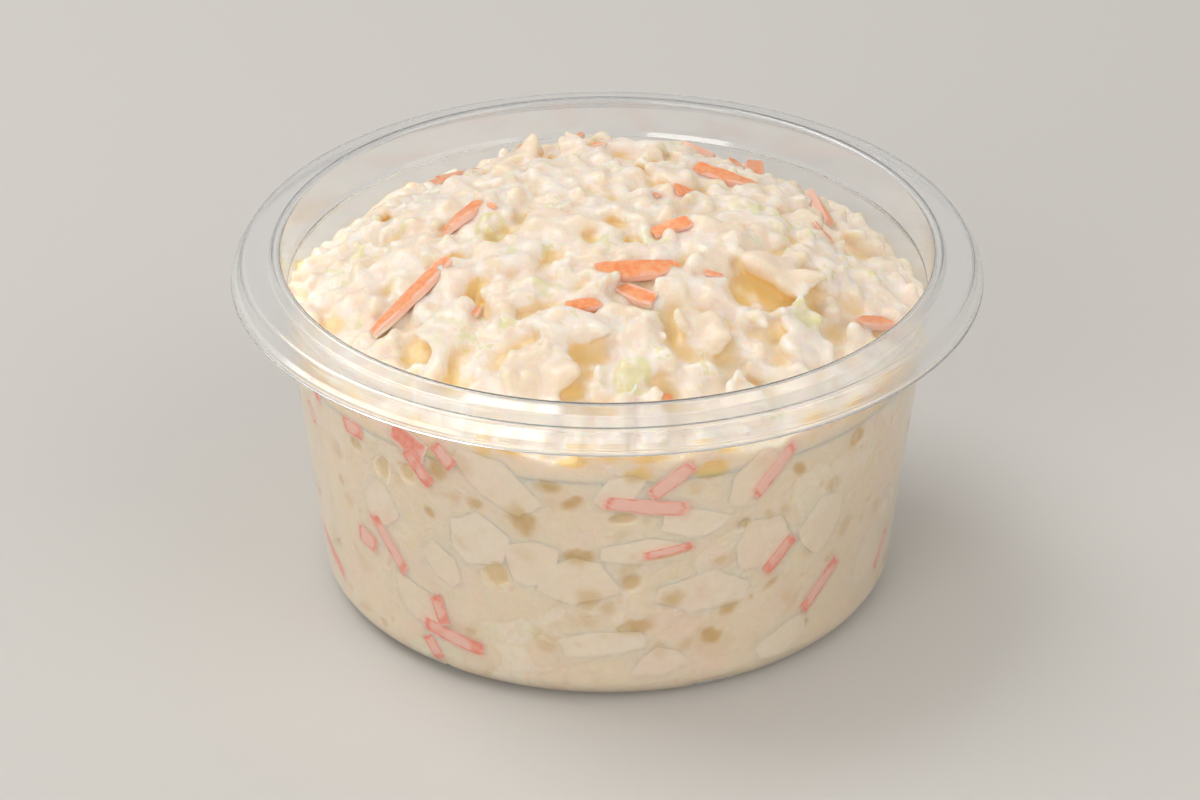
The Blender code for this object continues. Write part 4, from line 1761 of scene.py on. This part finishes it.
@dataclass(frozen=True)
class Dressing:
    """How thick dressing closes creases and rounds edges, worked out on a field of distances."""

    cell: float = 0.5 * MM
    fill: float = 0.5 * MM
    wear: float = 0.75 * MM
    near: int = 4
    deep: int = 9

    def field(self, points: np.ndarray, corners: np.ndarray, outside: float, inside: float) -> Any:
        """Distances from a closed surface.

        Args:
            points: Its points in metres, one a row.
            corners: Its faces, three or four numbers a row.
            outside: How far out the distances go, in metres.
            inside: How far in they go, in metres.

        Returns:
            A grid that holds them in millimetres.
        """
        faces = {"triangles" if corners.shape[1] == 3 else "quads": corners.astype(np.uint32)}
        return openvdb.FloatGrid.createLevelSetFromPolygons(
            (points / MM).astype(np.float32),
            transform=openvdb.createLinearTransform(voxelSize=self.cell / MM),
            exBandWidth=outside / self.cell,
            inBandWidth=inside / self.cell,
            **faces,
        )

    def moved(self, grid: Any, level: float, outside: float, inside: float) -> Any:
        """Distances from the surface that lies at one distance of a grid."""
        points, _, quads = grid.convertToPolygons(isovalue=level / MM)
        return self.field(points.astype(float) * MM, quads, outside, inside)

    def coated(self, mesh: bpy.types.Mesh, low: Sequence[int], cells: Sequence[int]) -> np.ndarray:
        """Distances from the surface of pieces under dressing.

        Args:
            mesh: Overlapping closed shells.
            low: The block's first cell.
            cells: The block's size in cells.

        Returns:
            A block of distances in metres, less than 0 inside.
        """
        mesh.calc_loop_triangles()
        corners = np.empty(len(mesh.loop_triangles) * 3, np.int32)
        mesh.loop_triangles.foreach_get("vertices", corners)
        room = self.near * self.cell
        grid = self.field(points_of(mesh), corners.reshape(-1, 3), self.fill + room, room)
        grid = self.moved(grid, self.fill, room, self.fill + self.wear + room)
        grid = self.moved(grid, -self.fill - self.wear, self.wear + room, self.deep * self.cell)
        block = np.zeros(cells, np.float32)
        grid.copyToArray(block, ijk=tuple(int(i) for i in low))
        return block * MM - self.wear

    def surface(self, block: np.ndarray, low: Sequence[int]) -> tuple[np.ndarray, np.ndarray]:
        """The surface of a block of distances.

        Args:
            block: The distances in metres.
            low: The block's first cell.

        Returns:
            Its points in metres and its four-cornered faces.
        """
        grid = openvdb.FloatGrid(self.near * self.cell / MM)
        grid.transform = openvdb.createLinearTransform(voxelSize=self.cell / MM)
        limit = self.near * self.cell / MM
        grid.copyFromArray(np.clip(block / MM, -limit, limit), ijk=tuple(int(i) for i in low))
        points, _, quads = grid.convertToPolygons(isovalue=0.0)
        return points.astype(float) * MM, quads


def blurred(block: np.ndarray, reach: int, passes: int = 2) -> np.ndarray:
    """A block averaged over nearby cells.

    Args:
        block: The block.
        reach: How many cells away it is averaged on each side.
        passes: How many times.

    Returns:
        The averaged block.
    """
    for _ in range(passes):
        for axis in range(block.ndim):
            width = [(0, 0)] * block.ndim
            width[axis] = (reach + 1, reach)
            total = np.cumsum(np.pad(block, width, mode="edge"), axis=axis, dtype=np.float64)
            span = 2 * reach + 1
            high = np.take(total, range(span, total.shape[axis]), axis=axis)
            low = np.take(total, range(0, total.shape[axis] - span), axis=axis)
            block = ((high - low) / span).astype(np.float32)
    return block


@dataclass
class Crown:
    """The heap's crown: leaves, ribs and crumbs under a coat of dressing, as one body."""

    side: PressedSide
    form: HeapForm = HEAP
    dressing: Dressing = Dressing()
    core_inset: float = 1.6 * MM
    grid_step: float = 2.0 * MM
    reach: float = 57.5 * MM
    lowest: float = 43.0 * MM
    highest: float = 74.0 * MM
    hump_size: float = 7 * MM
    hump_rise: float = 1.0 * MM
    lump_size: float = 3.8 * MM
    lump_rise: float = 0.5 * MM
    curd_size: float = 1.8 * MM
    curd_rise: float = 0.26 * MM
    hollow_depth: float = 1.7 * MM
    contact_blend: float = 0.5 * MM
    # Painted shade on faces turned down from the heap's slope.
    slope: float = 0.9
    under_share: float = 0.8
    # Painted shade where the crown meets the wall just below the rim: more gold and a less pale
    # tone.
    wall_shade: float = 0.16
    wall_shade_tone: float = 0.5
    pit_from: float = 0.66
    pit_over: float = 0.24
    pit_fill: float = 2.2 * MM
    lumps_within: float = 2.2 * MM
    calm_size: float = 8 * MM
    calm_middle: float = 0.6
    calm_swing: float = 0.9
    calm_least: float = 0.12
    ring: Range = (46 * MM, 57.5 * MM)
    # Painted shade: how the blurred fill and faces turned down make the crown golden.
    narrow_reach: int = 3
    wide_reach: int = 7
    narrow_from: float = 0.56
    narrow_gain: float = 1.5
    wide_from: float = 0.54
    wide_gain: float = 4.4
    under_from: float = 0.44
    under_gain: float = 6
    under_facing: float = 0.8
    wall_layer: float = 0.9 * MM
    core_tone: float = 0.2
    green_tone: float = 1.35
    core_foot: float = 3 * MM
    least_room: Range = (0.12, 0.2)
    hollow_clear: float = 0.5
    piece_clear: float = 1.2 * MM
    core_sides: int = 160
    flake_middle: float = 0.9
    flake_width: float = 0.7
    flake_thickness: float = 1.4
    scatters: tuple[Scatter, ...] = (
        Scatter("leaves", (Chop.LEAF,), 4.0, 5 * MM, 10 * MM, 0.45, -0.6 * MM, 1.6 * MM, 11),
        Scatter("ribs", (Chop.RIB,), 5.0, 5 * MM, 10 * MM, 0.6, -0.4 * MM, 2.2 * MM, 13),
        Scatter("cubes", (Chop.CUBE,), 6.0, 3.0 * MM, 5.6 * MM, 0.9, -0.4 * MM, 2.4 * MM, 15),
        Scatter("crumbs", (Chop.CRUMB,), 16.0, 1.2 * MM, 3.0 * MM, 0.8, 0.4 * MM, 2.6 * MM, 14),
    )

    def core(self) -> bpy.types.Mesh:
        """The crown's closed core, with the room that each place has for scattered pieces."""
        reach = CUP.inner_radius(self.form.contact_height) + 1 * MM
        count = int(reach / self.grid_step)
        sides = self.core_sides
        points = []
        for ring in range(1, count + 1):
            radius = reach * ring / count
            for i in range(sides):
                turn = FULL_TURN * i / sides
                points.append((radius * math.cos(turn), radius * math.sin(turn)))
        flat = np.array([(0.0, 0.0), *points])
        height = self.form.height(flat[:, 0], flat[:, 1]) - self.core_inset
        ground = np.column_stack([flat, np.zeros(len(flat))])
        height += self.hump_rise * swells(ground, self.hump_size, 12)
        room = np.ones(len(flat))
        for x, y, radius in SHOWN_HOLLOWS:
            away = np.hypot(flat[:, 0] - x * MM, flat[:, 1] - y * MM) / (radius * MM)
            height -= self.hollow_depth * np.exp(-(away**2))
            room = np.minimum(room, np.clip(away - self.hollow_clear, self.least_room[0], 1))
        for piece in (*SHOWN_CROWN_CARROTS, *SHOWN_FLAKES):
            away = self.apart(flat, piece)
            room = np.minimum(room, np.clip(away / self.piece_clear, self.least_room[1], 1))
        top = np.column_stack([flat, height])
        rim = top[-sides:].copy()
        rim[:, 2] = self.lowest - self.core_foot
        all_points = np.concatenate([top, rim, [[0, 0, self.lowest - self.core_foot]]])
        faces = [(0, 1 + i, 1 + (i + 1) % sides) for i in range(sides)]
        faces += bands(1, sides, count, turned=True)
        foot = 1 + count * sides
        middle = len(all_points) - 1
        faces += [(middle, foot + (i + 1) % sides, foot + i) for i in range(sides)]
        mesh = mesh_from("crown_core", all_points, faces)
        room = np.concatenate([room, np.zeros(sides + 1)])
        layer = mesh.attributes.new(ROOM, "FLOAT", "POINT")
        layer.data.foreach_set("value", room.astype(np.float32))
        return mesh

    @staticmethod
    def apart(flat: np.ndarray, piece: Lying) -> np.ndarray:
        """How far places lie from a piece's footprint, seen from above."""
        heading = math.radians(piece.heading)
        x = flat[:, 0] - piece.x * MM
        y = flat[:, 1] - piece.y * MM
        along = np.abs(x * math.cos(heading) + y * math.sin(heading)) - piece.length * MM / 2
        aside = np.abs(y * math.cos(heading) - x * math.sin(heading)) - piece.width * MM / 2
        return np.hypot(np.maximum(along, 0), np.maximum(aside, 0))

    def shown_flakes(self) -> list[bpy.types.Mesh]:
        """The large flakes that show, each set where it lies."""
        meshes = []
        for i, flake in enumerate(SHOWN_FLAKES):
            mesh = ChoppedPiece(Chop.LEAF, 500 + i, sides=12).mesh()
            points = points_of(mesh)
            length, width = flake.length * MM, flake.width / self.flake_width * MM
            points *= (length, width, flake.length * self.flake_thickness * MM)
            x, y = flake.x * MM, flake.y * MM
            upright = self.form.normal(x, y).rotation_difference(Vector((0, 0, 1))).inverted()
            turn = Matrix.Rotation(math.radians(flake.heading), 3, "Z")
            pitch = Matrix.Rotation(math.radians(flake.pitch), 3, "Y")
            lie = upright.to_matrix() @ turn @ pitch
            lift = (flake.lift - self.flake_middle) * MM
            middle = Vector((x, y, self.form.height(x, y) + lift))
            set_points(mesh, points @ np.array(lie).T + np.array(middle))
            set_mark(mesh, Mark.TONE, np.full(len(points), (i * GOLDEN_STEP) % 1))
            meshes.append(mesh)
        return meshes

    def block(self) -> tuple[np.ndarray, np.ndarray]:
        """The first cell and the size of the block of distances."""
        cell = self.dressing.cell
        low = np.floor(np.array([-self.reach, -self.reach, self.lowest]) / cell).astype(int)
        high = np.ceil(np.array([self.reach, self.reach, self.highest]) / cell).astype(int)
        return low, high - low

    def shaped(self, pieces: bpy.types.Mesh) -> tuple[np.ndarray, np.ndarray]:
        """The dressed pieces, with lumps, held in by the cup's wall.

        Args:
            pieces: Overlapping closed shells.

        Returns:
            The block of distances, and its first cell.
        """
        low, cells = self.block()
        cell = self.dressing.cell
        block = blurred(self.dressing.coated(pieces, low, cells), 1, 1)
        filled = np.clip(0.5 - block / cell, 0, 1)
        packed = blurred(filled, self.narrow_reach)
        pits = np.clip((packed - self.pit_from) / self.pit_over, 0, 1)
        block -= (self.pit_fill * pits).astype(np.float32)
        near = np.abs(block) < self.lumps_within
        places = (np.argwhere(near) + low) * cell
        calm = self.calm_middle + self.calm_swing * swells(places, self.calm_size, 5)
        calm = np.clip(calm, self.calm_least, 1)
        lumps = self.lump_rise * domes(places, self.lump_size, 1)
        curds = self.curd_rise * domes(places, self.curd_size, 2) * calm
        block[near] -= (lumps + curds).astype(np.float32)
        x = ((np.arange(cells[0]) + low[0]) * cell)[:, None]
        y = ((np.arange(cells[1]) + low[1]) * cell)[None, :]
        out = np.hypot(x, y)
        turn = np.arctan2(y, x + 0 * y)
        ring = (out > self.ring[0]) & (out < self.ring[1])
        for k in range(cells[2]):
            height = float((k + low[2]) * cell)
            limit = CUP.inner_radius(height, self.form.into_sheet)
            past = out - limit
            if height < self.side.pocket_top:
                past[ring] += self.side.hollows(turn[ring], np.full(ring.sum(), height))
            layer = block[:, :, k]
            gap = np.clip((past - layer) / self.contact_blend + 0.5, 0, 1)
            joined_up = layer * (1 - gap) + past * gap + self.contact_blend * gap * (1 - gap)
            block[:, :, k] = np.where(past > -3 * MM, joined_up, layer)
        return block, low

    def skin(self, block: np.ndarray, low: np.ndarray) -> bpy.types.Mesh:
        """The block's surface as a closed mesh, cut off at the seam with the side.

        Args:
            block: The distances.
            low: The block's first cell.

        Returns:
            The mesh.
        """
        points, quads = self.dressing.surface(block, low)
        mesh = mesh_from("salad_crown", points, quads)
        bm = bmesh.new()
        bm.from_mesh(mesh)
        cut = bmesh.ops.bisect_plane(
            bm,
            geom=bm.verts[:] + bm.edges[:] + bm.faces[:],
            dist=1e-7,
            plane_co=(0, 0, self.side.high),
            plane_no=(0, 0, 1),
            clear_inner=True,
        )
        rim = [item for item in cut["geom_cut"] if isinstance(item, bmesh.types.BMEdge)]
        for edge in rim:
            edge.smooth = False
        bmesh.ops.contextual_create(bm, geom=rim)
        shells = self.shells(bm)
        scraps = [vert for shell in shells[1:] for vert in shell]
        bmesh.ops.delete(bm, geom=scraps, context="VERTS")
        bmesh.ops.triangulate(bm, faces=[face for face in bm.faces if len(face.verts) > 4])
        bmesh.ops.recalc_face_normals(bm, faces=bm.faces)
        bm.to_mesh(mesh)
        bm.free()
        return mesh

    @staticmethod
    def shells(bm: bmesh.types.BMesh) -> list[list]:
        """The connected groups of points, largest first."""
        left = set(bm.verts)
        groups = []
        while left:
            front = [left.pop()]
            group = list(front)
            while front:
                vert = front.pop()
                for edge in vert.link_edges:
                    near = edge.other_vert(vert)
                    if near in left:
                        left.remove(near)
                        front.append(near)
                        group.append(near)
            groups.append(group)
        return sorted(groups, key=len, reverse=True)

    def hollow(self, skin: bpy.types.Mesh, block: np.ndarray, low: np.ndarray) -> np.ndarray:
        """How much golden painted shade points get, from 0 to 1: shade for lying within hollows or
        under an edge.

        Args:
            skin: The crown's mesh.
            block: The distances.
            low: The block's first cell.

        Returns:
            A value for each point.
        """
        points = points_of(skin)
        cell = self.dressing.cell
        spots = points / cell - low
        filled = np.clip(0.5 - block / cell, 0, 1)
        narrow = sampled(blurred(filled, self.narrow_reach), spots) - self.narrow_from
        wide = sampled(blurred(filled, self.wide_reach), spots)
        out = np.hypot(points[:, 0], points[:, 1]) / CUP.inner_radius(self.form.contact_height)
        lean = np.clip(out, 0, 1) ** (self.form.crown_power - 1) * self.slope
        outwards = points[:, :2] / np.maximum(np.hypot(points[:, 0], points[:, 1]), 1e-6)[:, None]
        normals = normals_of(skin)
        facing = normals[:, 2] + (normals[:, :2] * outwards).sum(axis=1) * lean
        facing = facing / np.sqrt(1 + lean**2)
        # Painted shade on undersides: faces turned down from the heap's slope, where the fill is
        # dense.
        under = np.clip((self.under_facing - facing) / self.under_facing, 0, 1)
        under *= np.clip((wide - self.under_from) * self.under_gain, 0, 1)
        # Painted shade in hollows, from how densely the fill packs round each point.
        closed = narrow * self.narrow_gain + (wide - self.wide_from) * self.wide_gain
        return np.clip(closed + under * self.under_share, 0, 1)

    def build(self) -> bpy.types.Object:
        """Scatters, fuses and dresses the crown.

        Returns:
            The crown.
        """
        core = self.core()
        parts = [scatter.over(core) for scatter in self.scatters]
        parts += self.shown_flakes()
        set_mark(core, Mark.TONE, np.full(len(core.vertices), self.core_tone))
        whole = joined("crown_pieces", [core, *parts])
        tones = get_mark(whole, Mark.TONE)
        finder = finder_of(points_of(whole))
        block, low = self.shaped(whole)
        bpy.data.meshes.remove(whole)
        skin = self.skin(block, low)
        points = points_of(skin)
        tone = np.array([tones[finder.find(point)[1]] for point in points])
        for x, y, radius in SHOWN_GREENS:
            away = np.hypot(points[:, 0] - x * MM, points[:, 1] - y * MM) / (radius * MM)
            tone = np.maximum(tone, self.green_tone * np.exp(-(away**2)))
        # The crown's painted golden shade in hollows and under edges.
        hollow = self.hollow(skin, block, low)
        turn, height = np.arctan2(points[:, 1], points[:, 0]), points[:, 2]
        reach = self.form.reaches(height) - self.wall_layer
        on_wall = np.hypot(points[:, 0], points[:, 1]) > reach
        # Painted shade where the crown meets the wall just below the rim: the side's golden shade
        # plus a little more, and a darker, less pale tone.
        hollow[on_wall] = self.side.relief(turn[on_wall], height[on_wall])[3] + self.wall_shade
        tone[on_wall] *= self.wall_shade_tone
        set_mark(skin, Mark.TONE, tone)
        set_mark(skin, Mark.HOLLOW, hollow)
        skin.shade_smooth()
        crown = new_object("salad_crown", skin, SALAD)
        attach(crown, BODY)
        return crown


@dataclass
class CrownCarrots:
    """The carrot strips lying on the crown."""

    crown: bpy.types.Object
    form: HeapForm = HEAP
    drawn: int = 6
    specks: int = 9
    seed: int = 5
    parts: int = 9
    sunk: float = 0.05 * MM
    sag_share: float = 0.55
    most_turn: float = 0.35
    most_roll: float = 0.3
    most_bow: float = 0.5
    end_taper: float = 0.12
    end_bevel: float = 0.86
    end_coat: float = 0.25
    ragged_size: float = 1.8 * MM
    ragged_rise: float = 0.12 * MM
    coat_range: Range = (-0.1, 0.3)
    sharp_from: float = math.radians(35)

    def places(self, draw: random.Random) -> list[Lying]:
        """Those that show, drawn ones behind, and specks all over."""
        places = list(SHOWN_CROWN_CARROTS)
        for i in range(self.drawn):
            turn = math.radians(50 + 80 * (i + 0.5) / self.drawn)
            out = draw.uniform(45, 50)
            sizes = (draw.uniform(0, 360), draw.uniform(6, 13), draw.uniform(2.2, 3.6))
            places.append(Lying(out * math.cos(turn), out * math.sin(turn), *sizes))
        for i in range(self.specks):
            out = 48 * math.sqrt((i + 0.5) / self.specks)
            turn = i * GOLDEN_TURN + 0.7
            sizes = (draw.uniform(0, 360), draw.uniform(1.4, 3.2), draw.uniform(0.9, 1.6))
            places.append(Lying(out * math.cos(turn), out * math.sin(turn), *sizes, thick=0.9))
        return places

    def strip(self, piece: Lying, finder: BVHTree, draw: random.Random) -> bpy.types.Mesh:
        """One strip, resting on the crown.

        Args:
            piece: Where it lies, and its sizes.
            finder: The crown's surface.
            draw: Where its unevenness comes from.

        Returns:
            Its mesh.
        """
        heading = math.radians(piece.heading)
        run = Vector((math.cos(heading), math.sin(heading), 0))
        spots, heights = [], []
        for i in range(self.parts + 1):
            along = (i / self.parts - 0.5) * piece.length * MM
            spot = Vector((piece.x * MM, piece.y * MM, 0)) + run * along
            hit = finder.ray_cast(Vector((spot.x, spot.y, 0.1)), Vector((0, 0, -1)))[0]
            heights.append(hit.z if hit else self.form.height(spot.x, spot.y))
            spots.append(spot)
        ground = np.polyval(np.polyfit(range(len(heights)), heights, 1), range(len(heights)))
        sag = max(np.array(heights) - ground) * self.sag_share
        normal = self.form.normal(piece.x * MM, piece.y * MM)
        side = run.cross(normal).normalized()
        twist = draw.uniform(-self.most_turn, self.most_turn)
        roll = draw.uniform(-self.most_roll, self.most_roll)
        bow = draw.uniform(-self.most_bow, self.most_bow) * MM
        skews = [draw.uniform(-self.most_turn, self.most_turn) for _ in range(2)]
        points, coats = [], []
        for i, spot in enumerate(spots):
            share = i / self.parts * 2 - 1
            end = i in (0, self.parts)
            taper = (1 - self.end_taper * abs(share)) * (self.end_bevel if end else 1)
            middle = spot + side * (bow * (1 - share * share))
            middle.z = ground[i] + sag - self.sunk
            turn = roll + twist * share
            across = side * math.cos(turn) + normal * math.sin(turn)
            up = across.cross(run).normalized()
            skew = skews[i > 0] * max(0.0, abs(share) - 0.5) * 2
            for x, y, coat in self.section():
                wide = piece.width * MM / 2 * x * taper
                thick = piece.thick * MM / 2 * y * taper
                points.append(middle + across * wide + up * thick + run * (skew * wide))
                coats.append(coat + self.end_coat * share**6)
        sides = len(self.section())
        faces = bands(0, sides, self.parts)
        faces.append(list(range(sides))[::-1])
        faces.append([self.parts * sides + k for k in range(sides)])
        ragged = swells(np.array([tuple(point) for point in points]), self.ragged_size, 9)
        mesh = mesh_from("crown_carrot", points, faces)
        uneven = points_of(mesh) + normals_of(mesh) * (ragged * self.ragged_rise)[:, None]
        set_points(mesh, self.form.kept_inside(uneven))
        set_mark(mesh, Mark.COAT, np.array(coats) + draw.uniform(*self.coat_range))
        return mesh

    @staticmethod
    def section() -> list[tuple[float, float, float]]:
        """The cut section: places across and up, and how much dressing covers them."""
        return [
            (-1.0, 0.7, 0.6),
            (-0.86, 1.0, 0.4),
            (-0.3, 1.0, -0.1),
            (0.3, 1.0, -0.1),
            (0.86, 1.0, 0.4),
            (1.0, 0.7, 0.6),
            (1.0, -0.7, 1.0),
            (0.86, -1.0, 1.0),
            (-0.86, -1.0, 1.0),
            (-1.0, -0.7, 1.0),
        ]

    def build(self) -> bpy.types.Object:
        """Makes every strip and joins them.

        Returns:
            One object.
        """
        draw = random.Random(self.seed)
        graph = bpy.context.evaluated_depsgraph_get()
        finder = BVHTree.FromObject(self.crown, graph)
        meshes = [self.strip(place, finder, draw) for place in self.places(draw)]
        whole = joined("crown_carrots", meshes)
        outward_faces(whole)
        whole.set_sharp_from_angle(angle=self.sharp_from)
        item = new_object("crown_carrots", whole, CARROT)
        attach(item, BODY)
        return item


# Places on the wall where shreds of carrot colour the salad: (turn, height, size).
SHOWN_STAINS = (
    (-126.0, 46.5, 5.0),
    (-122.5, 11.5, 5.5),
    (-141.0, 22.0, 2.6),
    (-134.0, 29.0, 3.0),
    (-61.0, 46.5, 3.0),
)


def stain(salads: Sequence[bpy.types.Object], carrots: Sequence[bpy.types.Object]) -> None:
    """Marks where the salad takes on colour from carrot nearby.

    Args:
        salads: The pieces that are marked.
        carrots: The pieces that colour them.
    """
    near, far, most = 0.2 * MM, 1.7 * MM, 0.8
    finder = finder_of(np.concatenate([points_of(carrot.data) for carrot in carrots]))
    for salad in salads:
        points = points_of(salad.data)
        away = np.array([finder.find(point)[2] for point in points])
        share = np.clip((far - away) / (far - near), 0, 1) * most
        for turn, height, size in SHOWN_STAINS:
            radius = CUP.wall_radius(height * MM)
            angle = math.radians(turn)
            middle = (radius * math.cos(angle), radius * math.sin(angle), height * MM)
            cluster = np.exp(-((np.linalg.norm(points - middle, axis=1) / (size * MM)) ** 2))
            share = np.maximum(share, cluster * most)
        set_mark(salad.data, Mark.BLUSH, share)


# Studio


@dataclass(frozen=True)
class Lamp:
    """A soft lamp aimed at the cup."""

    name: str
    place: tuple[float, float, float]
    size: float
    power: float
    colour: Colour = (1.0, 1.0, 1.0)
    aim: tuple[float, float, float] = (0, 0, 0.04)

    def light(self) -> None:
        """Sets the lamp up."""
        data = bpy.data.lights.new(self.name, "AREA")
        data.shape = "SQUARE"
        data.size = self.size
        data.energy = self.power
        data.color = self.colour
        lamp = bpy.data.objects.new(self.name, data)
        lamp.location = self.place
        aim = Vector(self.aim) - Vector(self.place)
        lamp.rotation_euler = aim.to_track_quat("-Z", "Y").to_euler()
        bpy.context.scene.collection.objects.link(lamp)


@dataclass
class Studio:
    """Floor, light and camera."""

    floor_size: float = 6.0
    floor_height: float = -0.05 * MM
    sky: Colour = (1.0, 0.985, 0.96)
    sky_strength: float = 0.5
    camera_place: tuple[float, float, float] = (-0.0016, -0.6704, 0.4091)
    camera_pitch: float = -29.46
    camera_yaw: float = 0.045
    camera_roll: float = 0.029
    focal_pixels: float = 4407.4
    image_width: float = 1200.0
    sensor_width: float = 36.0
    farthest: float = 20.0
    lamps: tuple[Lamp, ...] = (
        Lamp("key", (-0.6, 0.35, 1.0), 0.7, 6.0, (1.0, 0.98, 0.95)),
        Lamp("fill", (0.8, -0.5, 0.7), 0.9, 3.3, (1.0, 0.94, 0.86)),
        Lamp("front", (-0.6, -1.0, 0.45), 0.6, 4.0, (1.0, 0.98, 0.95)),
    )

    def build(self) -> None:
        """Sets up the floor, the lamps, the sky and the camera."""
        self.floor()
        for lamp in self.lamps:
            lamp.light()
        self.sky_light()
        self.camera()
        bpy.context.scene.view_settings.view_transform = "Standard"

    def floor(self) -> None:
        """A wide flat floor under the cup."""
        half = self.floor_size / 2
        low = self.floor_height
        corners = [(-half, -half, low), (half, -half, low), (half, half, low), (-half, half, low)]
        mesh = mesh_from("floor", corners, [(0, 1, 2, 3)])
        floor = new_object("floor", mesh, PaleFloor("pale floor"))

    def sky_light(self) -> None:
        """An even pale sky."""
        world = bpy.data.worlds.new("sky")
        world.use_nodes = True
        graph = Graph(world.node_tree)
        sockets = {"Color": self.sky, "Strength": self.sky_strength}
        sky = graph.add("ShaderNodeBackground", None, sockets)
        graph.add("ShaderNodeOutputWorld", None, {"Surface": sky})
        bpy.context.scene.world = world

    def camera(self) -> None:
        """The camera, at the photograph's angle."""
        data = bpy.data.cameras.new("camera")
        data.sensor_width = self.sensor_width
        data.lens = self.focal_pixels * self.sensor_width / self.image_width
        data.clip_end = self.farthest
        camera = bpy.data.objects.new("camera", data)
        camera.location = self.camera_place
        angles = (90 + self.camera_pitch, self.camera_roll, -self.camera_yaw)
        camera.rotation_euler = Euler([math.radians(angle) for angle in angles])
        bpy.context.scene.collection.objects.link(camera)
        bpy.context.scene.camera = camera


def main() -> None:
    """Builds every piece in order."""
    logging.basicConfig(level=logging.INFO, format="%(message)s")
    Studio().build()
    side = PressedSide()
    pieces = [CupShell().build(), side.build()]
    for pressed in (
        PressedPieces(
            "wall_leaves",
            LEAF,
            SHOWN_LEAVES,
            drawn=40,
            into_sheet=0.13 * MM,
            lengths=(8, 16),
            widths=(5, 10),
            cuts=6,
            slant=0.4,
            raggedness=0.012,
            seed=31,
        ),
        PressedPieces(
            "wall_carrots",
            PRESSED_CARROT,
            SHOWN_WALL_CARROTS,
            drawn=22,
            into_sheet=0.28 * MM,
            lengths=(6, 14),
            widths=(2.2, 3.4),
            cuts=4,
            slant=0.12,
            raggedness=0.016,
            seed=32,
        ),
    ):
        pieces.append(pressed.build())
    crown = Crown(side).build()
    pieces.append(crown)
    pieces.append(CrownCarrots(crown).build())
    _, body, leaves, wall_carrots, _, crown_carrots = pieces
    settle(leaves, side)
    stain((body, leaves, crown), (wall_carrots, crown_carrots))
    for piece in pieces:
        LOG.info("%s: %d faces", piece.name, len(piece.data.polygons))


if __name__ == "__main__":
    main()
